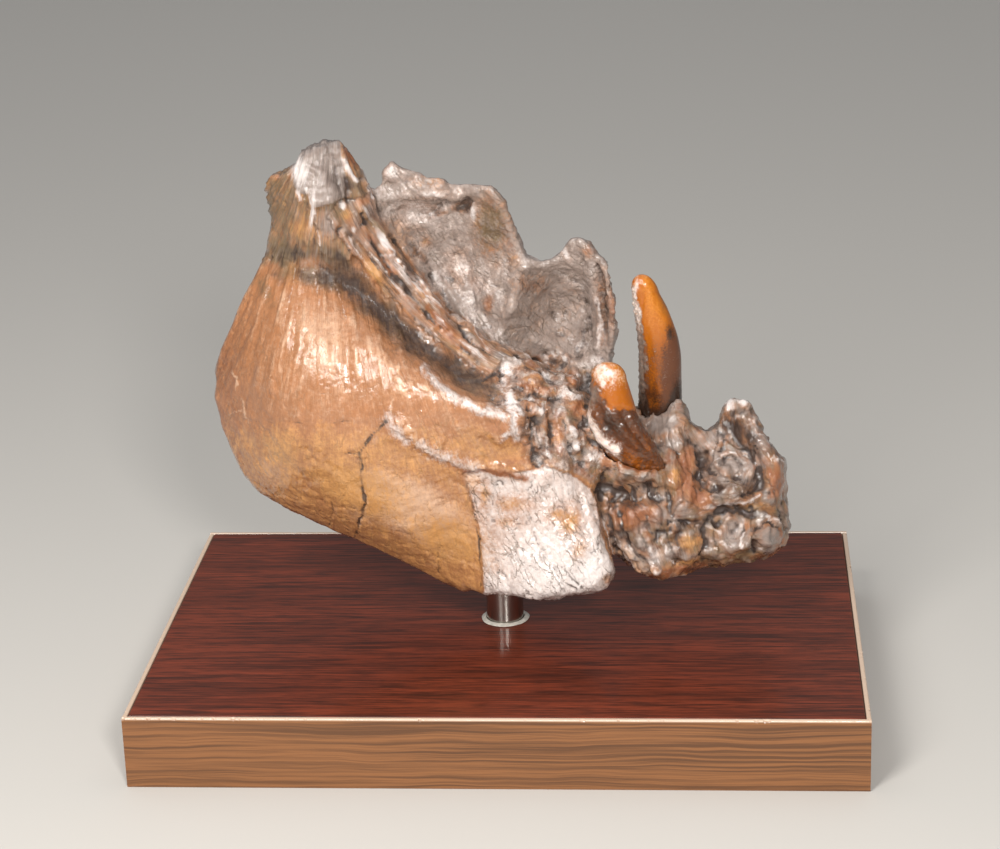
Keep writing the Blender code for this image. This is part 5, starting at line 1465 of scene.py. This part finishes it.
def wood_strip(settings):
    """Printed edge strip: wavy dark lines along light brown, and a pale raw edge on top."""
    material, tree = new_material("light wood strip")
    lay = add(tree, ATTRIBUTE, out="Vector", attribute_name="lay")
    bend_way = add(tree, MAPPING, {"Vector": lay, "Scale": every(50, 20, 1, unit=1)})
    bend = add(tree, NOISE, {"Vector": bend_way, "Scale": 1.0, "Detail": 2.0}, out="Color")
    wavy = add(tree, VECTOR_MATH, {0: bend, 1: (0.0, 6.0, 0.0), 2: lay}, operation="MULTIPLY_ADD")
    line_way = add(tree, MAPPING, {"Vector": wavy, "Scale": every(125, 1.25, 1, unit=1)})
    band = add(tree, NOISE, {"Vector": line_way, "Scale": 1.0, "Detail": 3.0, "Roughness": 0.55})
    thread_way = add(tree, MAPPING, {"Vector": wavy, "Scale": every(33.33, 0.3846, 1, unit=1)})
    thread = add(tree, NOISE, {"Vector": thread_way, "Scale": 1.0, "Detail": 3.0})
    colour = settings.strip
    for marks, low, high, most in ((band, 0.44, 0.62, 0.9), (thread, 0.5, 0.68, 0.6)):
        cover = add(tree, RANGE, {"Value": marks, "From Min": low, "From Max": high, "To Max": most})
        colour = add(tree, MIX, {0: cover, 6: colour, 7: settings.strip_dark}, data_type="RGBA")
    top = add(tree, ATTRIBUTE, attribute_name="top")
    colour = add(tree, MIX, {0: top, 6: colour, 7: settings.edge}, data_type="RGBA")
    bump = add(tree, BUMP, {"Height": thread, "Strength": 0.1, "Distance": 0.3 * MM})
    values = {
        "Base Color": colour, "Roughness": 0.42, "Coat Weight": 0.3, "Coat Roughness": 0.15,
        "Normal": bump,
    }
    add(tree, OUTPUT, {"Surface": add(tree, SHADER, values)})
    return material


# A strip's section as depth from its outer face and height, before and after its plain outer face.
STRIP_FACE = np.linspace(1, 30, 12)
STRIP_FOOT = [(0.15, 0.15)]
STRIP_REST = [
    (0.05, 30.6), (0.2, 30.85), (0.5, 31), (1, 31), (1.6, 31), (1.85, 30.9), (2, 30.6), (2, 15),
    (2, 0.2), (1.8, 0), (0.3, 0),
]
STRIP_STEP = 0.5
# How far a strip's ends stand back from its solid's.
STRIP_GAP = 0.15


def make_strip(name, node, seed):
    """A bar between a CAD strip's corners: its section, with rounded and chipped upper edges, is
    carried along its length."""
    low, high = (np.array(corner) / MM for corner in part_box(node))
    size = high - low
    long_axis = int(np.argmax(size[:2]))
    thick_axis = 1 - long_axis
    outward = 1.0 if low[thick_axis] > 0 else -1.0
    steps = int(size[long_axis] / STRIP_STEP)
    face = [(0, rise) for rise in STRIP_FACE]
    depth, rise = np.array(STRIP_FOOT + face + STRIP_REST).T
    length = np.linspace(STRIP_GAP, size[long_axis] - STRIP_GAP, steps)
    line = np.column_stack([length, np.full(steps, seed * 7.3), np.zeros(steps)])
    # Chips a few millimetres long and up to half a millimetre deep, and a finer wear between them.
    chip = 0.45 * ease(0.35, 0.8, rough(line, 3.0, 3, seed)) + 0.12 * np.abs(rough(line, 1.2, 2, seed + 3))
    upper = chip[:, None] * ease(29.5, 31.0, rise) * ease(1.2, 0.2, depth)
    outer = (high if outward > 0 else low)[thick_axis]
    grid = np.zeros((steps, len(rise), 3))
    grid[..., long_axis] = (low[long_axis] + length)[:, None]
    grid[..., thick_axis] = outer - outward * (depth + 0.9 * upper)
    grid[..., 2] = rise - 0.8 * upper
    if (outward > 0) != (long_axis == 0):
        grid = grid[:, ::-1]
    obj = skin_object(name, grid)
    points = mesh_points(obj.data)
    lay = np.column_stack([points[:, long_axis] * outward, points[:, 2], np.full(len(points), seed * 3.7)])
    set_attribute(obj.data, "lay", lay)
    set_attribute(obj.data, "top", ease(30.0, 30.7, points[:, 2]))
    obj.data.polygons.foreach_set("use_smooth", np.zeros(len(obj.data.polygons), bool))
    return obj


class FOSSIL_OT_board(bpy.types.Operator):
    """Dress the board and its edge strips"""

    bl_idname = "fossil.board"
    bl_label = "Board"

    def execute(self, context):
        settings = context.scene.fossil_board
        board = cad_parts["board"]
        laminate = wood_laminate(settings)
        for slot in board.material_slots:
            slot.material = laminate
        strip = wood_strip(settings)
        for seed, side in enumerate(("front", "back", "left", "right")):
            obj = make_strip(f"{side}_strip", f"strip_{side}", seed + 1)
            place(obj, strip, [f"strip_{side}"])
        return {"FINISHED"}


# --- the stage -----------------------------------------------------------------------------------

EYE = (0.0884, -1.0249, 0.4852)
EYE_DOWN = 19.54
EYE_LEFT = 5.01
EYE_ROLL = -2.0
LENS = 92.98
SENSOR_WIDTH = 36.0
FAR_CLIP = 30.0
MIDDLE = (0, 0, 0.11)
# Each lamp's stand, width and height, and colour.
LAMPS = {
    "key": ((0.24, -1.05, 0.62), (0.16, 0.16), (1, 0.98, 0.95)),
    "tall": ((-0.36, -0.86, 0.80), (0.3, 0.7), (1, 0.98, 0.95)),
    "fill": ((-0.3, 0.9, 3.2), (5.0, 5.0), (1, 1, 1)),
}
ROOM_COLOUR = (0.85, 0.88, 0.92, 1)
ROOM_STRENGTH = 0.18
FLOOR_HALF = 8000


def power_property(name, power, description):
    """A lamp's power, which a user may change."""
    return bpy.props.FloatProperty(name=name, description=description, default=power, min=0.0, unit="POWER")


class StageSettings(bpy.types.PropertyGroup):
    """Light and floor."""

    key_power: power_property("Key light", 10.0, "Power of the lamp near the eye")
    tall_power: power_property("Tall light", 12.0, "Power of the tall sheet above the eye")
    fill_power: power_property("Fill light", 60.0, "Power of the overhead sheet")
    floor: colour_property("Floor", "#C2BEB8", "The plain pale floor")


def make_camera():
    """A camera at EYE that looks down, to the left and slightly rolled."""
    down, left, roll = (math.radians(a) for a in (EYE_DOWN, EYE_LEFT, EYE_ROLL))
    ahead = Vector((-math.sin(left) * math.cos(down), math.cos(left) * math.cos(down), -math.sin(down)))
    level = Vector((math.cos(left), math.sin(left), 0))
    upright = level.cross(ahead)
    right = level * math.cos(roll) + upright * math.sin(roll)
    up = upright * math.cos(roll) - level * math.sin(roll)
    data = bpy.data.cameras.new("eye")
    data.lens = LENS
    data.sensor_width = SENSOR_WIDTH
    data.clip_end = FAR_CLIP
    obj = linked("eye", data)
    turn = Matrix((right, up, -ahead)).transposed().to_4x4()
    obj.matrix_world = Matrix.Translation(EYE) @ turn
    bpy.context.scene.camera = obj


def make_lamp(name, power):
    """A flat lamp that faces the middle of the object."""
    stand, size, colour = LAMPS[name]
    data = bpy.data.lights.new(name, "AREA")
    data.energy = power
    data.shape = "RECTANGLE"
    data.size, data.size_y = size
    data.color = colour
    obj = linked(name, data)
    obj.location = stand
    obj.rotation_euler = (Vector(MIDDLE) - Vector(stand)).to_track_quat("-Z", "Y").to_euler()


def painted_floor(settings):
    """Matt wall paint: even and without a highlight."""
    material, tree = new_material("matt painted floor")
    values = {"Base Color": settings.floor, "Roughness": 0.9}
    add(tree, OUTPUT, {"Surface": add(tree, SHADER, values)})
    return material


class FOSSIL_OT_stage(bpy.types.Operator):
    """Add the floor, the lights and the camera"""

    bl_idname = "fossil.stage"
    bl_label = "Stage"

    def execute(self, context):
        settings = context.scene.fossil_stage
        make_camera()
        context.scene.view_settings.view_transform = "Standard"
        for name in LAMPS:
            make_lamp(name, getattr(settings, f"{name}_power"))
        world = bpy.data.worlds.new("dim room")
        context.scene.world = world
        world.use_nodes = True
        background = world.node_tree.nodes["Background"].inputs
        background["Color"].default_value = ROOM_COLOUR
        background["Strength"].default_value = ROOM_STRENGTH
        corners = np.array([(-1, -1, 0), (1, -1, 0), (1, 1, 0), (-1, 1, 0)]) * FLOOR_HALF
        floor = mesh_object("floor", corners, [[0, 1, 2, 3]], smooth=False)
        floor.data.materials.append(painted_floor(settings))
        return {"FINISHED"}


class FOSSIL_PT_panel(bpy.types.Panel):
    """Buttons and settings"""

    bl_label = "Fossil"
    bl_space_type = "VIEW_3D"
    bl_region_type = "UI"
    bl_category = "Fossil"

    def draw(self, context):
        for name in ("bone", "teeth", "post", "board", "stage"):
            self.layout.operator(f"fossil.{name}")
            group = getattr(context.scene, f"fossil_{name}")
            for key in group.bl_rna.properties.keys():
                if key not in ("rna_type", "name"):
                    self.layout.prop(group, key)


SETTINGS = {
    "fossil_bone": BoneSettings,
    "fossil_teeth": ToothSettings,
    "fossil_post": PostSettings,
    "fossil_board": BoardSettings,
    "fossil_stage": StageSettings,
}
OPERATORS = [FOSSIL_OT_bone, FOSSIL_OT_teeth, FOSSIL_OT_post, FOSSIL_OT_board, FOSSIL_OT_stage]
CLASSES = [*SETTINGS.values(), *OPERATORS, FOSSIL_PT_panel]


def register():
    """Adds the classes, and one group of settings of each kind to the scene."""
    for cls in CLASSES:
        bpy.utils.register_class(cls)
    for name, group in SETTINGS.items():
        setattr(bpy.types.Scene, name, bpy.props.PointerProperty(type=group))


def unregister():
    """Takes away what register adds."""
    for name in SETTINGS:
        delattr(bpy.types.Scene, name)
    for cls in reversed(CLASSES):
        bpy.utils.unregister_class(cls)


def main():
    """Builds every piece and the stage."""
    register()
    bpy.ops.fossil.bone()
    bpy.ops.fossil.teeth()
    bpy.ops.fossil.post()
    bpy.ops.fossil.board()
    bpy.ops.fossil.stage()


if __name__ == "__main__":
    main()
